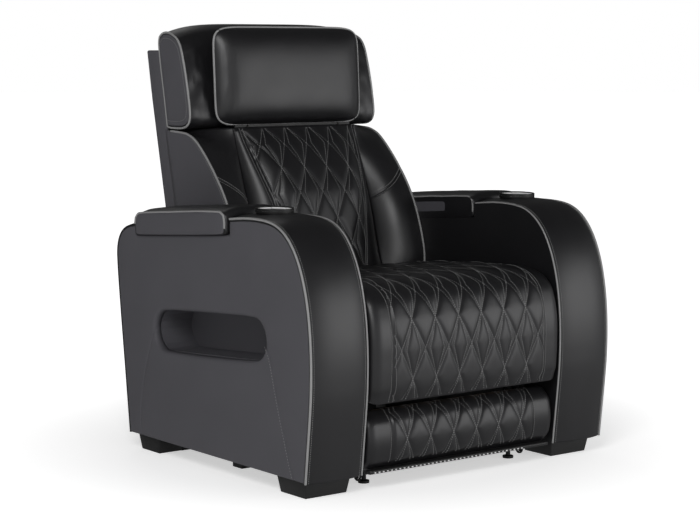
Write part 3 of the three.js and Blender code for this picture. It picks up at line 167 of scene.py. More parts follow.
def turn_at(pts, i):
    a = pts[i] - pts[i - 1]
    b = pts[(i + 1) % len(pts)] - pts[i]
    cosine = np.dot(a, b) / max(np.linalg.norm(a) * np.linalg.norm(b), SAME_POINT ** 2)
    return math.acos(max(-1, min(1, cosine)))


def outward(run):
    """The side-view normal on the left of a run: out of an outline that goes clockwise."""
    return np.stack([-run[..., 1], run[..., 0]], -1)


def section(node, x):
    """Outlines of a CAD node cut at one place across: Y and Z in order, clockwise, longest first."""
    bm = bmesh.new()
    bm.from_mesh(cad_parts[node].data)
    bmesh.ops.remove_doubles(bm, verts=bm.verts, dist=SAME_POINT)
    cut = bmesh.ops.bisect_plane(bm, geom=bm.verts[:] + bm.edges[:] + bm.faces[:], dist=SAME_POINT / 10,
                                 plane_co=(x, 0, 0), plane_no=(1, 0, 0), clear_outer=True)
    near = {}
    for edge in [g for g in cut["geom_cut"] if isinstance(g, bmesh.types.BMEdge)]:
        a, b = edge.verts
        near.setdefault(a, []).append(b)
        near.setdefault(b, []).append(a)
    loops = []
    while near:
        here = next(iter(near))
        loop = []
        while here in near:
            loop.append((here.co.y, here.co.z))
            following = [v for v in near.pop(here) if v in near]
            here = following[0] if following else None
        if len(loop) > 3:
            loops.append(clean_loop(np.array(loop)))
    bm.free()
    return sorted(loops, key=lambda p: -np.linalg.norm(np.diff(p, axis=0), axis=1).sum())


def clean_loop(loop):
    """Without points that the outline passes straight through, and turned clockwise."""
    loop = loop[[i for i in range(len(loop)) if turn_at(loop, i) > STRAIGHT]]
    y, z = loop[:, 0], loop[:, 1]
    area = 0.5 * np.sum(y * np.roll(z, -1) - np.roll(y, -1) * z)
    return loop[::-1] if area > 0 else loop


def matched_loops(node, places, start_at, count):
    """Outlines of a node at several places across, point for point alike."""
    loops = []
    for x in places:
        loop = Line(section(node, x)[0], closed=True)
        start = loop.nearest(start_at)
        loops.append(loop.at(start + np.linspace(0, loop.length, count, endpoint=False)))
    return loops


def at_x(x, flat):
    """Side-view points at one place across."""
    return np.concatenate([np.full((len(flat), 1), x), flat], 1)


def mirrored(points, sign):
    return np.asarray(points, float) * np.array([sign, 1, 1])


# Meshes

def new_object(name, points, faces):
    mesh = bpy.data.meshes.new(name)
    mesh.from_pydata(np.asarray(points, float).reshape(-1, 3).tolist(), [], faces)
    obj = bpy.data.objects.new(name, mesh)
    bpy.context.scene.collection.objects.link(obj)
    bm = bmesh.new()
    bm.from_mesh(mesh)
    bmesh.ops.recalc_face_normals(bm, faces=bm.faces)
    bm.to_mesh(mesh)
    bm.free()
    smooth(obj)
    return obj


def smooth(obj):
    obj.data.polygons.foreach_set("use_smooth", [True] * len(obj.data.polygons))


def quads_between(near, ahead):
    """Faces between rows of points that go round, each joined to the row ahead."""
    return np.stack([near, np.roll(near, -1, 1), np.roll(ahead, -1, 1), ahead], -1).reshape(-1, 4).tolist()


def loft(name, rings):
    """A skin over rings of points; the ends are closed with one face each."""
    rings = np.asarray(rings, float)
    index = np.arange(rings.shape[0] * rings.shape[1]).reshape(rings.shape[:2])
    ends = [index[0].tolist(), index[-1].tolist()]
    return new_object(name, rings, quads_between(index[:-1], index[1:]) + ends)


def tube(name, path, radius=PIPING_RADIUS, sides=8, closed=False, step=4 * MM):
    """A cord along a 3-D line."""
    line = Line(path, closed)
    count = max(3, int(line.length / step))
    s = np.linspace(0, line.length, count + (0 if closed else 1), endpoint=not closed)
    centre = line.at(s)
    run = line.run(s)
    up = np.tile([1.0, 0, 0], (len(s), 1))
    up[np.abs(run[:, 0]) > 0.9] = [0, 0, 1.0]
    side = np.cross(run, up)
    side /= np.linalg.norm(side, axis=1, keepdims=True)
    over = np.cross(side, run)
    turns = np.linspace(0, 2 * math.pi, sides, endpoint=False)
    rings = (centre[:, None] + radius * (np.cos(turns)[None, :, None] * side[:, None]
                                         + np.sin(turns)[None, :, None] * over[:, None]))
    if not closed:
        return loft(name, rings)
    index = np.arange(len(rings) * sides).reshape(-1, sides)
    return new_object(name, rings, quads_between(index, np.roll(index, -1, axis=0)))


def stitches(name, rows, radius=THREAD_RADIUS, length=STITCH_LENGTH, pitch=STITCH_PITCH):
    """Short stitches along rows. Each row is (points, normals) in order along the surface."""
    # One stitch: four square rings from end to end, thin and dipped into the leather at both ends
    stations = np.array([-1, -0.55, 0.55, 1])
    widths = np.array([0.25, 1, 1, 0.25])
    lifts = np.array([-0.9, 0.35, 0.35, -0.9])
    corners = np.array([[1, 0], [0, 1], [-1, 0], [0, -1]])
    points, faces = [], []
    for places, normals in rows:
        line = Line(places, corner=math.inf)
        if line.length < pitch:
            continue
        count = int(line.length / pitch)
        s = (np.arange(count) + 0.5) * line.length / count
        centre, run = line.at(s), line.run(s)
        steps = np.linspace(0, line.length, len(normals))
        normal = np.stack([np.interp(s, steps, np.asarray(normals)[:, k]) for k in range(3)], -1)
        side = unit(np.cross(run, normal))
        for c, t, n, b in zip(centre, run, normal, side):
            base = len(points)
            for station, width, lift in zip(stations, widths, lifts):
                middle = c + t * station * length / 2 + n * lift * radius
                points.extend(middle + radius * width * (b * cx + n * cz) for cx, cz in corners)
            for ring in range(3):
                for k in range(4):
                    near = base + ring * 4 + k
                    far = base + ring * 4 + (k + 1) % 4
                    faces.append([near, far, far + 4, near + 4])
            faces.append([base + 3, base + 2, base + 1, base])
            faces.append([base + 12, base + 13, base + 14, base + 15])
    return new_object(name, points, faces)


def apply_modifier(obj, kind, **settings):
    bpy.context.view_layer.objects.active = obj
    obj.select_set(True)
    modifier = obj.modifiers.new(kind.lower(), kind)
    for key, value in settings.items():
        setattr(modifier, key, value)
    bpy.ops.object.modifier_apply(modifier=modifier.name)
    obj.select_set(False)


def cut_away(obj, cutter):
    cutter.select_set(False)
    apply_modifier(obj, "BOOLEAN", object=cutter, operation="DIFFERENCE", solver="EXACT")
    bpy.data.objects.remove(cutter)


def rounded_copy(name, node, width, segments=3):
    """A node's own shape with its sharp edges rounded."""
    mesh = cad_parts[node].data.copy()
    obj = bpy.data.objects.new(name, mesh)
    bpy.context.scene.collection.objects.link(obj)
    bm = bmesh.new()
    bm.from_mesh(mesh)
    bmesh.ops.remove_doubles(bm, verts=bm.verts, dist=SAME_POINT)
    bmesh.ops.dissolve_limit(bm, angle_limit=math.radians(0.5), verts=bm.verts, edges=bm.edges)
    bm.to_mesh(mesh)
    bm.free()
    apply_modifier(obj, "BEVEL", width=width, segments=segments, limit_method="ANGLE",
                   angle_limit=math.radians(28), harden_normals=False)
    smooth(obj)
    bpy.context.view_layer.objects.active = obj
    obj.select_set(True)
    bpy.ops.object.shade_smooth_by_angle(angle=SHARP_CORNER)
    obj.select_set(False)
    return obj


# Forms of soft leather

def soft_edge(distance, radius):
    """How far a soft edge has risen, from none at the edge to all of it inside."""
    share = np.clip(distance / radius, 0, 1)
    return np.sqrt(np.maximum(1 - (1 - share) ** 2, 0))


def ripple(points, size, seed=0.0):
    """Smooth noise at each point, about -1 to 1."""
    flat = np.asarray(points, float).reshape(-1, 3) / size + seed
    return np.array([noise.noise(Vector(p)) for p in flat]).reshape(np.shape(points)[:-1])


def swollen_rings(node, count, around, middle_sample, end_share, power, draw_in, edge_radius, inset=0.0):
    """Outlines across a cushion, from its own at the middle to its own near the ends, drawn in there."""
    low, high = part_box(node)
    middle_x, half = (low.x + high.x) / 2, (high.x - low.x) / 2
    places = (middle_x + middle_sample, middle_x + end_share * half)
    middle, end = matched_loops(node, places, (high.y, low.z), around)
    centre = middle.mean(0)
    rings = []
    for c in np.sin(np.linspace(-math.pi / 2, math.pi / 2, count)):
        blend = min(1.0, (abs(c) / end_share) ** power)
        ring = middle * (1 - blend) + end * blend
        shrink = 1 - draw_in * (1 - soft_edge(half * (1 - abs(c)), edge_radius))
        rings.append(at_x(middle_x + c * (half - inset), centre + (ring - centre) * shrink))
    return np.array(rings), centre, middle_x, half


def puffed_end(name, ring, centre, face_x, steps):
    """An end panel over an outline. Each step is the outline's size as a share, and its height."""
    return loft(name, [at_x(face_x + rise, centre + (ring[:, 1:] - centre) * grow) for grow, rise in steps])


# Quilting on pads that know their border seams, ends and row of tufts

def quilt_height(x, along):
    """Relief of the quilting over its seams; along is counted from a row of tufts."""
    a = x / TUFT_PITCH + 0.5 + along / (2 * TUFT_ROW)
    b = x / TUFT_PITCH + 0.5 - along / (2 * TUFT_ROW)
    slope = math.hypot(1 / TUFT_PITCH, 1 / (2 * TUFT_ROW))
    to_a = np.abs(a - np.round(a)) / slope
    to_b = np.abs(b - np.round(b)) / slope
    half = TUFT_PITCH / 2
    column = np.abs((x / TUFT_PITCH) % 1 - 0.5) * TUFT_PITCH
    row = np.abs((along / (2 * TUFT_ROW)) % 1 - 0.5) * 2 * TUFT_ROW
    inside = column / half + row / TUFT_ROW < 1
    narrow = column / (half * INNER_DIAMOND_SHARE) + row / TUFT_ROW - 1
    narrow_slope = math.hypot(1 / (half * INNER_DIAMOND_SHARE), 1 / TUFT_ROW)
    to_narrow = np.where(inside, np.abs(narrow) / narrow_slope, 1)
    near = np.minimum(np.minimum(to_a, to_b), to_narrow)
    dome = np.sqrt(np.abs(np.sin(math.pi * a) * np.sin(math.pi * b)))
    return QUILT_PUFF * (1 - np.exp(-near / SEAM_SOFTNESS)) + QUILT_DOME * dome


def quilted_relief(pad, x, s):
    """The quilting inside a pad's two border seams, and the valleys of those seams."""
    from_seam = pad.seam_at(s) - np.abs(x)
    inside = np.clip(from_seam / SEAM_SOFTNESS, 0, 1)
    relief = quilt_height(x, s - pad.row_from) * (1 - (1 - inside) ** 2)
    return relief - SEAM_DEPTH * np.exp(-(from_seam / SEAM_WIDTH) ** 2)


def quilt_seams(reach, start, end, row_from):
    """The quilting's seams between two lengths along a surface, as lists of (x, along)."""
    seams = []
    first = int(math.floor((start - row_from) / (2 * TUFT_ROW))) - 1
    last = int(math.ceil((end - row_from) / (2 * TUFT_ROW))) + 1
    columns = int(reach / TUFT_PITCH) + 2
    for k in range(first, last + 1):
        top = row_from + k * 2 * TUFT_ROW
        for i in range(-columns, columns + 1):
            x = (i + 0.5) * TUFT_PITCH
            for width in (1, -1, INNER_DIAMOND_SHARE, -INNER_DIAMOND_SHARE):
                wide = x + width * TUFT_PITCH / 2
                seams.append([(x, top), (wide, top + TUFT_ROW), (x, top + 2 * TUFT_ROW)])
    return seams


def thread_row(pad, x, s, lift):
    """A row of thread that lies on a pad's relief."""
    point, out = pad.base(x, s)
    return point + out * (pad.height(x, s) + lift)[:, None], out


def quilt_threads(pad):
    rows = []
    for seam in quilt_seams(pad.quilt_reach, pad.start, pad.end, pad.row_from):
        for (x0, s0), (x1, s1) in zip(seam, seam[1:]):
            t = np.linspace(0, 1, SEAM_PIECES)
            x, s = x0 + (x1 - x0) * t, s0 + (s1 - s0) * t
            keep = (np.abs(x) < pad.seam_at(s) - SEAM_END_GAP) & (s > pad.thread_from) & (s < pad.thread_to)
            if keep.sum() > 2:
                rows.append(thread_row(pad, x[keep], s[keep], THREAD_LIFT))
    return rows


def border_threads(pad, offsets, lift=LOW_THREAD_LIFT):
    """Rows beside a pad's two border seams, at offsets outwards from them."""
    s = np.arange(pad.border_from, pad.border_to, THREAD_ROW_STEP)
    return [thread_row(pad, sign * (pad.seam_at(s) + offset), s, lift)
            for offset in offsets for sign in (-1, 1)]


# Materials

class Value:
    """A shader socket that can be used in sums and products."""

    def __init__(self, tree, socket):
        self.tree = tree
        self.socket = socket

    def __add__(self, other):
        return self.tree.maths("ADD", self, other)

    def __mul__(self, other):
        return self.tree.maths("MULTIPLY", self, other)

    def __rsub__(self, other):
        return self.tree.maths("SUBTRACT", other, self)

    def clamped(self, low, high):
        """From 0 to 1 as the value goes from low to high."""
        return self.tree.node("ShaderNodeMapRange", {"clamp": True}, (self, low, high, 0.0, 1.0))


class Tree:
    """The nodes of a material, or of the world."""

    def __init__(self, name, world=None):
        self.owner = world or bpy.data.materials.new(name)
        self.owner.use_nodes = True
        self.nodes = self.owner.node_tree.nodes
        self.shader = self.nodes["Background" if world else "Principled BSDF"]

    def node(self, kind, settings=None, inputs=(), output=0):
        node = self.nodes.new(kind)
        for key, value in (settings or {}).items():
            setattr(node, key, value)
        pairs = inputs.items() if isinstance(inputs, dict) else enumerate(inputs)
        for key, value in pairs:
            self.link(value, node.inputs[key])
        return Value(self, node.outputs[output])

    def link(self, value, socket):
        if isinstance(value, Value):
            self.owner.node_tree.links.new(value.socket, socket)
        else:
            socket.default_value = value

    def maths(self, operation, *terms):
        return self.node("ShaderNodeMath", {"operation": operation}, terms)

    def place(self):
        return self.node("ShaderNodeTexCoord", output="Object")

    def noise(self, scale, detail=3.0, roughness=0.5):
        return self.node("ShaderNodeTexNoise", None, {
            "Vector": self.place(), "Scale": scale, "Detail": detail, "Roughness": roughness})

    def cells(self, scale):
        return self.node("ShaderNodeTexVoronoi", {"feature": "F1"}, {
            "Vector": self.place(), "Scale": scale}, "Distance")

    def mixed(self, share, dark, light):
        """One colour or the other, by a share. A mix node's colours are its inputs 6 and 7, and output 2."""
        dark, light = (c if isinstance(c, Value) else (*c, 1) for c in (dark, light))
        return self.node("ShaderNodeMix", {"data_type": "RGBA"}, {"Factor": share, 6: dark, 7: light}, 2)

    def bump(self, height, strength, distance=0.3 * MM):
        return self.node("ShaderNodeBump", None, {
            "Height": height, "Strength": strength, "Distance": distance})

    def ray(self, kind):
        return self.node("ShaderNodeLightPath", output=f"Is {kind} Ray")

    def axis(self, vector, number):
        return self.node("ShaderNodeSeparateXYZ", None, (vector,), number)

    def surface(self, **inputs):
        names = {"colour": "Base Color", "roughness": "Roughness", "metallic": "Metallic",
                 "normal": "Normal", "specular": "Specular IOR Level",
                 "emission": "Emission Color", "emission_strength": "Emission Strength"}
        for key, value in inputs.items():
            self.link(value, self.shader.inputs[names[key]])
        return self.owner


def grey(level, tint=(1, 1, 1)):
    """A colour from its level on a 0 to 255 screen, in linear values."""
    share = level / 255
    linear = share / 12.92 if share <= 0.04045 else ((share + 0.055) / 1.055) ** 2.4
    return tuple(linear * t for t in tint)


COOL = (0.98, 0.96, 1.08)
NEUTRAL = (1, 1, 1)

# Darkest and lightest level, tint, roughness, strength of the grain and specular level
LEATHERS = {
    "gloss_leather": (18, 28, COOL, 0.38, 0.22, 0.5),
    "matte_leather": (74, 84, COOL, 0.62, 0.5, 0.3),
    "pale_piping": (124, 150, NEUTRAL, 0.5, 0.35, 0.5),
    # Black cloth for the rear board: partly the real cloth, partly painted shade as a dark sheet in the gap
    # under the seat
    "black_cloth_painted_shade": (16, 26, NEUTRAL, 0.8, 0.6, 0.15),
}

# Darkest and lightest level, scale of the mottling, metallic, then the roughness: scale, spread, least
PLAIN_FINISHES = {
    "pale_thread": (96, 138, 400.0, 0.0, 300.0, 0.2, 0.5),
    "dark_thread": (12, 30, 400.0, 0.0, 300.0, 0.2, 0.5),
    "white_staple": (205, 235, 300.0, 0.0, 200.0, 0.2, 0.3),
    "black_steel": (28, 44, 30.0, 0.6, 60.0, 0.2, 0.35),
    "cup_steel": (225, 240, 40.0, 0.05, 80.0, 0.12, 0.5),
    "spring_steel": (130, 160, 40.0, 1.0, 80.0, 0.12, 0.3),
    "button_metal": (60, 85, 40.0, 1.0, 80.0, 0.12, 0.28),
    "black_plastic": (20, 30, 25.0, 0.0, 120.0, 0.15, 0.4),
}

# Scales of the leather's pattern
CLOUD_SCALE = 9.0
CREASE_SCALE = 210.0
PEBBLE_SCALE = 620.0

# Darkest and lightest colour
TIMBERS = {
    "frame_timber": ((0.42, 0.27, 0.14), (0.58, 0.41, 0.24)),
    # Near-black timber: painted shade for the frame pieces inside the seat, where shade falls
    "painted_shade_timber": ((0.010, 0.009, 0.008), (0.018, 0.016, 0.014)),
}


def leather(name, dark, light, tint, rough, grain, specular):
    tree = Tree(name)
    cloud = tree.noise(CLOUD_SCALE, 4.0, 0.6)
    pebble = tree.cells(PEBBLE_SCALE)
    crease = tree.noise(CREASE_SCALE, 6.0, 0.65)
    pore = pebble * 0.6 + crease * 0.4
    colour = tree.mixed(cloud * 0.7 + pore * 0.3, grey(dark, tint), grey(light, tint))
    roughness = cloud * 0.10 + pore * 0.08 + (rough - 0.09)
    return tree.surface(colour=colour, roughness=roughness, specular=specular,
                        normal=tree.bump(pore, grain, 0.4 * MM))


def plain_finish(name, dark, light, scale, metallic, rough_scale, spread, rough):
    tree = Tree(name)
    if name == "black_steel":
        tree.surface(normal=tree.bump(tree.noise(900.0), 0.15))
    if name == "black_plastic":
        tree.surface(normal=tree.bump(tree.cells(700.0), 0.25))
    return tree.surface(colour=tree.mixed(tree.noise(scale), grey(dark), grey(light)), metallic=metallic,
                        roughness=tree.noise(rough_scale) * spread + rough)


def timber(name, dark, light):
    tree = Tree(name)
    ring = tree.node("ShaderNodeTexWave", {"wave_type": "BANDS"}, {
        "Vector": tree.place(), "Scale": 18.0, "Distortion": 6.0, "Detail": 3.0}, 1)
    return tree.surface(colour=tree.mixed(ring, dark, light), roughness=ring * 0.15 + 0.6,
                        normal=tree.bump(ring, 0.15, 0.5 * MM))


materials = {name: leather(name, *look) for name, look in LEATHERS.items()}
materials.update((name, plain_finish(name, *look)) for name, look in PLAIN_FINISHES.items())
materials.update((name, timber(name, *look)) for name, look in TIMBERS.items())


def finish(obj, material, body, replaces=()):
    """Gives a new piece its finish and its place on a body."""
    obj.data.materials.clear()
    obj.data.materials.append(materials[material])
    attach(obj, body)
    if replaces:
        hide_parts(*replaces)


def finish_cover(obj, body, node):
    """A padded leather cover in place of a CAD node."""
    finish(obj, "gloss_leather", body, replaces=(node,))


def sew(name, rows, body, **sizes):
    """Rows of pale stitches."""
    finish(stitches(name, rows, **sizes), "pale_thread", body)


def dress_nodes():
    """Every CAD node that stays in view gets a finish by what it is; the frame pieces inside the seat get
    near-black timber as painted shade.
    """
    for name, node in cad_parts.items():
        if "cup_holder" in name:
            finish_name = "cup_steel"
        elif "spring" in name:
            finish_name = "spring_steel"
        # Base board, rear rail and back frame: near-black timber as painted shade inside the seat
        elif "base_board" in name or "rear_cross" in name or "back_frame" in name:
            finish_name = "painted_shade_timber"
        elif "seat_frame" in name:
            finish_name = "frame_timber"
        elif any(word in name for word in ("foot", "bin", "control", "drive_block", "button")) \
                and "footrest" not in name and "link" not in name:
            finish_name = "black_plastic"
        elif "inner_panel" in name:
            finish_name = "gloss_leather"
        elif any(word in name for word in ("panel", "tray", "shell")):
            finish_name = "matte_leather"
        elif any(word in name for word in ("cushion", "pad", "bolster", "pillow", "lid", "band")):
            finish_name = "gloss_leather"
        else:
            finish_name = "black_steel"
        node.data.materials.clear()
        node.data.materials.append(materials[finish_name])


dress_nodes()


# Stage

# The floor's rings, and the distances over which it turns from its near glow to its far one
FLOOR_RINGS = (0.3, 3.0, 8.0, 40.0)
FLOOR_NEAR = 0.55
FLOOR_FAR = 1.4

# What the floor and the walls give off: to the seat, to the camera, and in the shine of the leather
FLOOR_GLOW = (0.40, 0.40, 0.40)
NEAR_FLOOR_GLOW = (0.54, 0.54, 0.54)
FAR_FLOOR_GLOW = (1.0, 1.0, 1.0)
DARK_GLOW = (0.06, 0.06, 0.06)
FRONT_GLOW = (0.55, 0.55, 0.56)
WALL_GLOW = (0.80, 0.80, 0.80)
WALL_GLOSS = (0.82, 0.82, 0.84)
WHITE = (1.0, 1.0, 1.0)

# Name, place, width, height and watts
LAMPS = (("key", (-2.8, -2.6, 2.6), 1.6, 1.6, 72),
         ("front", (2.3, -3.6, 0.84), 3.2, 1.75, 40),
         ("back", (0.5, 3.0, 3.4), 2.0, 2.0, 10))
LAMP_TARGET = Vector((0, 0, 0.5))

CAMERA_PLACE = (-3.055, -3.990, 1.049)
CAMERA_TURN = (math.radians(83.64), 0, math.radians(-37.5))
CAMERA_LENS = 99.26
CAMERA_SENSOR = 36


def build_floor():
    """A pale floor, which shows in the leather as pale in front of the seat and dark behind it."""
    turns = np.linspace(0, 2 * math.pi, 96, endpoint=False)
    rings = [[(r * math.cos(t), r * math.sin(t), 0) for t in turns] for r in FLOOR_RINGS]
    index = np.arange(len(FLOOR_RINGS) * len(turns)).reshape(len(FLOOR_RINGS), -1)
    floor = new_object("studio_floor", rings, quads_between(index[:-1], index[1:]) + [index[0].tolist()])
    bm = bmesh.new()
    bm.from_mesh(floor.data)
    for face in bm.faces:
        face.normal_update()
        if face.normal.z < 0:
            face.normal_flip()
    bm.to_mesh(floor.data)
    bm.free()
    floor.data.materials.append(floor_paint())


def floor_paint():
    tree = Tree("studio_white")
    pale = (tree.axis(tree.place(), 1) * -1).clamped(-1.0, 4.0)
    glow = tree.mixed(tree.ray("Glossy"), FLOOR_GLOW, tree.mixed(pale, DARK_GLOW, FRONT_GLOW))
    paint = tree.mixed(tree.noise(0.8), grey(236), grey(240))
    away = tree.node("ShaderNodeVectorMath", {"operation": "LENGTH"}, (tree.place(),), "Value")
    seen = tree.mixed(away.clamped(FLOOR_NEAR, FLOOR_FAR), NEAR_FLOOR_GLOW, FAR_FLOOR_GLOW)
    return tree.surface(
        colour=tree.mixed(tree.ray("Glossy"), paint, tree.mixed(pale, grey(70), paint)),
        roughness=0.9, specular=0.0,
        emission=tree.mixed(tree.ray("Camera"), glow, seen), emission_strength=1.0)


def build_world():
    """Lights the seat from low down, shows in its leather in front of it, and is white to the camera."""
    world = bpy.data.worlds.new("studio")
    bpy.context.scene.world = world
    tree = Tree("studio", world)
    direction = tree.node("ShaderNodeTexCoord", output="Generated")
    low = 1 - tree.axis(direction, 2).clamped(0.22, 0.38)
    front = (tree.axis(direction, 1) * -1).clamped(-0.2, 0.6)
    gloss = tree.mixed(low * front, DARK_GLOW, WALL_GLOSS)
    light = tree.mixed(tree.ray("Glossy"), tree.mixed(low, DARK_GLOW, WALL_GLOW), gloss)
    tree.link(tree.mixed(tree.ray("Camera"), light, WHITE), tree.shader.inputs["Color"])


def build_lamps():
    for name, place, width, height, watts in LAMPS:
        data = bpy.data.lights.new(name, "AREA")
        data.shape = "RECTANGLE"
        data.size = width
        data.size_y = height
        data.energy = watts
        lamp = bpy.data.objects.new(name, data)
        lamp.location = place
        lamp.rotation_euler = (LAMP_TARGET - Vector(place)).to_track_quat("-Z", "Y").to_euler()
        bpy.context.scene.collection.objects.link(lamp)


def build_camera():
    data = bpy.data.cameras.new("camera")
    data.lens = CAMERA_LENS
    data.sensor_width = CAMERA_SENSOR
    camera = bpy.data.objects.new("camera", data)
    camera.location = CAMERA_PLACE
    camera.rotation_euler = CAMERA_TURN
    bpy.context.scene.collection.objects.link(camera)
    bpy.context.scene.camera = camera
    bpy.context.scene.view_settings.view_transform = "Standard"


# Quilted seat and footrest

BORDER_OFFSETS = (6 * MM, -5 * MM)


class SweptPad:
    """A cushion with one side outline all the way across, soft at its two ends."""

    def __init__(self, node, seam, sample_x, end_radius, end_drop, tufts, front_inset, rear_drop, fade):
        low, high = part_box(node)
        self.half = high.x
        self.seam = seam
        self.end_radius = end_radius
        self.end_drop = end_drop
        self.fade = fade
        self.loop = Line(section(node, sample_x)[0], closed=True)
        self.start = self.loop.nearest((low.y + front_inset, low.z))
        self.end = self.loop.nearest((high.y, high.z - rear_drop))
        if self.end < self.start:
            self.end += self.loop.length
        self.row_from = self.loop.nearest((low.y, tufts))
        self.quilt_reach = seam
        self.thread_from, self.thread_to = self.start + 2 * MM, self.end - 2 * MM
        self.border_from, self.border_to = self.start + 3 * MM, self.end - 3 * MM

    def seam_at(self, s):
        return self.seam + 0 * s

    def base(self, x, s):
        """Surface without quilting, and its normal, at a place across and a length along."""
        x, s = np.broadcast_arrays(np.asarray(x, float), np.asarray(s, float))
        normal = outward(self.loop.run(s, 6 * MM))
        drop = self.end_drop * (1 - soft_edge(self.half - np.abs(x), self.end_radius))
        inside = self.loop.at(s) - normal * drop[..., None]
        point = np.concatenate([x[..., None], inside], -1)
        lean = np.clip(1 - (self.half - np.abs(x)) / self.end_radius, 0, 1) * np.sign(x)
        return point, unit(np.concatenate([lean[..., None], normal * (1 - np.abs(lean))[..., None]], -1))

    def height(self, x, s):
        on_front = np.clip(np.minimum(s - self.start, self.end - s) / self.fade, 0, 1)
        return quilted_relief(self, x, s) * on_front

    def mesh(self, name):
        x = np.linspace(-self.half, self.half, int(2 * self.half / FINE) + 1)
        rest = self.loop.length - (self.end - self.start)
        fine = np.linspace(self.start, self.end, int((self.end - self.start) / FINE) + 1)
        coarse = np.linspace(self.end, self.end + rest, int(rest / COARSE) + 2)[1:-1]
        xs, ss = np.meshgrid(x, np.concatenate([fine, coarse]), indexing="ij")
        point, out = self.base(xs, ss)
        return loft(name, point + out * self.height(xs, ss)[..., None])


def build_seat():
    pad = SweptPad("seat_cushion", seam=241 * MM, sample_x=271 * MM, end_radius=30 * MM, end_drop=20 * MM,
                   tufts=411 * MM, front_inset=16 * MM, rear_drop=46 * MM, fade=10 * MM)
    finish_cover(pad.mesh("seat_cover"), "seat", "seat_cushion")
    sew("seat_quilt_stitches", quilt_threads(pad), "seat")
    sew("seat_border_stitches", border_threads(pad, BORDER_OFFSETS), "seat")


def build_footrest():
    pad = SweptPad("footrest_pad", seam=225 * MM, sample_x=262 * MM, end_radius=24 * MM, end_drop=16 * MM,
                   tufts=118 * MM, front_inset=7 * MM, rear_drop=0, fade=22 * MM)
    finish_cover(pad.mesh("footrest_cover"), "footrest", "footrest_pad")
    sew("footrest_quilt_stitches", quilt_threads(pad), "footrest")
    sew("footrest_border_stitches", border_threads(pad, BORDER_OFFSETS[:1]), "footrest")


# Strip of staples: its side outline, in millimetres from the pad's lower front corner
STRIP_PROFILE = [(15, 2), (15.5, -2.5), (17, -4), (34, -4), (36, -2), (37, 1), (36, 4), (16, 4)]
STRIP_INSET = 12 * MM
STAPLES = 60
STAPLE_SIZES = {"radius": 1.7 * MM, "length": 5.5 * MM, "pitch": 12.5 * MM}
STAPLES_FROM = 6 * MM
STAPLES_TO = 84 * MM
STAPLES_FORWARD = 14.4 * MM
STAPLES_UNDER = 0.4 * MM


def build_footrest_strip():
    """The dark strip under the footrest's lower edge, and the staples that hold the leather to it."""
    low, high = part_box("footrest_pad")
    reach = high.x - STRIP_INSET
    corners = [(low.y + y * MM, low.z + z * MM) for y, z in STRIP_PROFILE]
    profile = Line(corners, closed=True, corner=math.inf)
    around = profile.at(np.linspace(0, profile.length, 32, endpoint=False))
    rings = [at_x(x, around) for x in np.linspace(-reach, reach, 80)]
    finish(loft("footrest_lower_strip", rings), "black_plastic", "footrest")
    places = np.tile([0, low.y + STAPLES_FORWARD, low.z - STAPLES_UNDER], (STAPLES, 1))
    places[:, 0] = np.linspace(-reach + STAPLES_FROM, reach - STAPLES_TO, STAPLES)
    normals = np.tile([0, -1.0, 0], (STAPLES, 1))
    finish(stitches("footrest_staples", [(places, normals)], **STAPLE_SIZES), "white_staple",
           "footrest")


# Lines drawn to fit the frame: places in millimetres from the arms' front foot line and the floor

foot_low, foot_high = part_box("left_front_foot")
FOOT_LINE = (foot_low.y + foot_high.y) / 2 - 78 * MM
panel_low, panel_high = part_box("right_outer_panel")
ARM_OUT = panel_high.x
ARM_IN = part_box("right_inner_panel")[0].x
ARM_MIDDLE = (ARM_OUT + ARM_IN) / 2


def from_foot(points):
    return [(FOOT_LINE + y * MM, z * MM) for y, z in points]


# Quilted middle of the back

BACK_FRONT = [(516, 440), (528, 510), (546, 590), (568, 673), (598, 733), (637, 790), (676, 826),
              (690, 838)]
BACK_GROOVE = [(560, 440), (585, 510), (608, 590), (640, 673), (660, 733), (676, 780), (689, 822),
               (694, 836)]
BACK_TUFT = (598, 733)
BACK_QUILT_REACH = 190 * MM
BACK_SEAM_HALF = 147 * MM
BACK_SEAM_LEVEL = 655 * MM
BACK_SEAM_SLOPE = 0.18
BACK_FLAT_SHARE = 0.6
BACK_FALL_POWER = 1.8
BACK_ROLL = 7 * MM
BACK_FADE = 12 * MM
BACK_DEPTH = 52 * MM
BACK_THREAD_LIFT = 0.42 * MM
SHELL_SAMPLE = 300.5 * MM
GROOVE_X = 201 * MM
GROOVE_GAP = 0.5 * MM


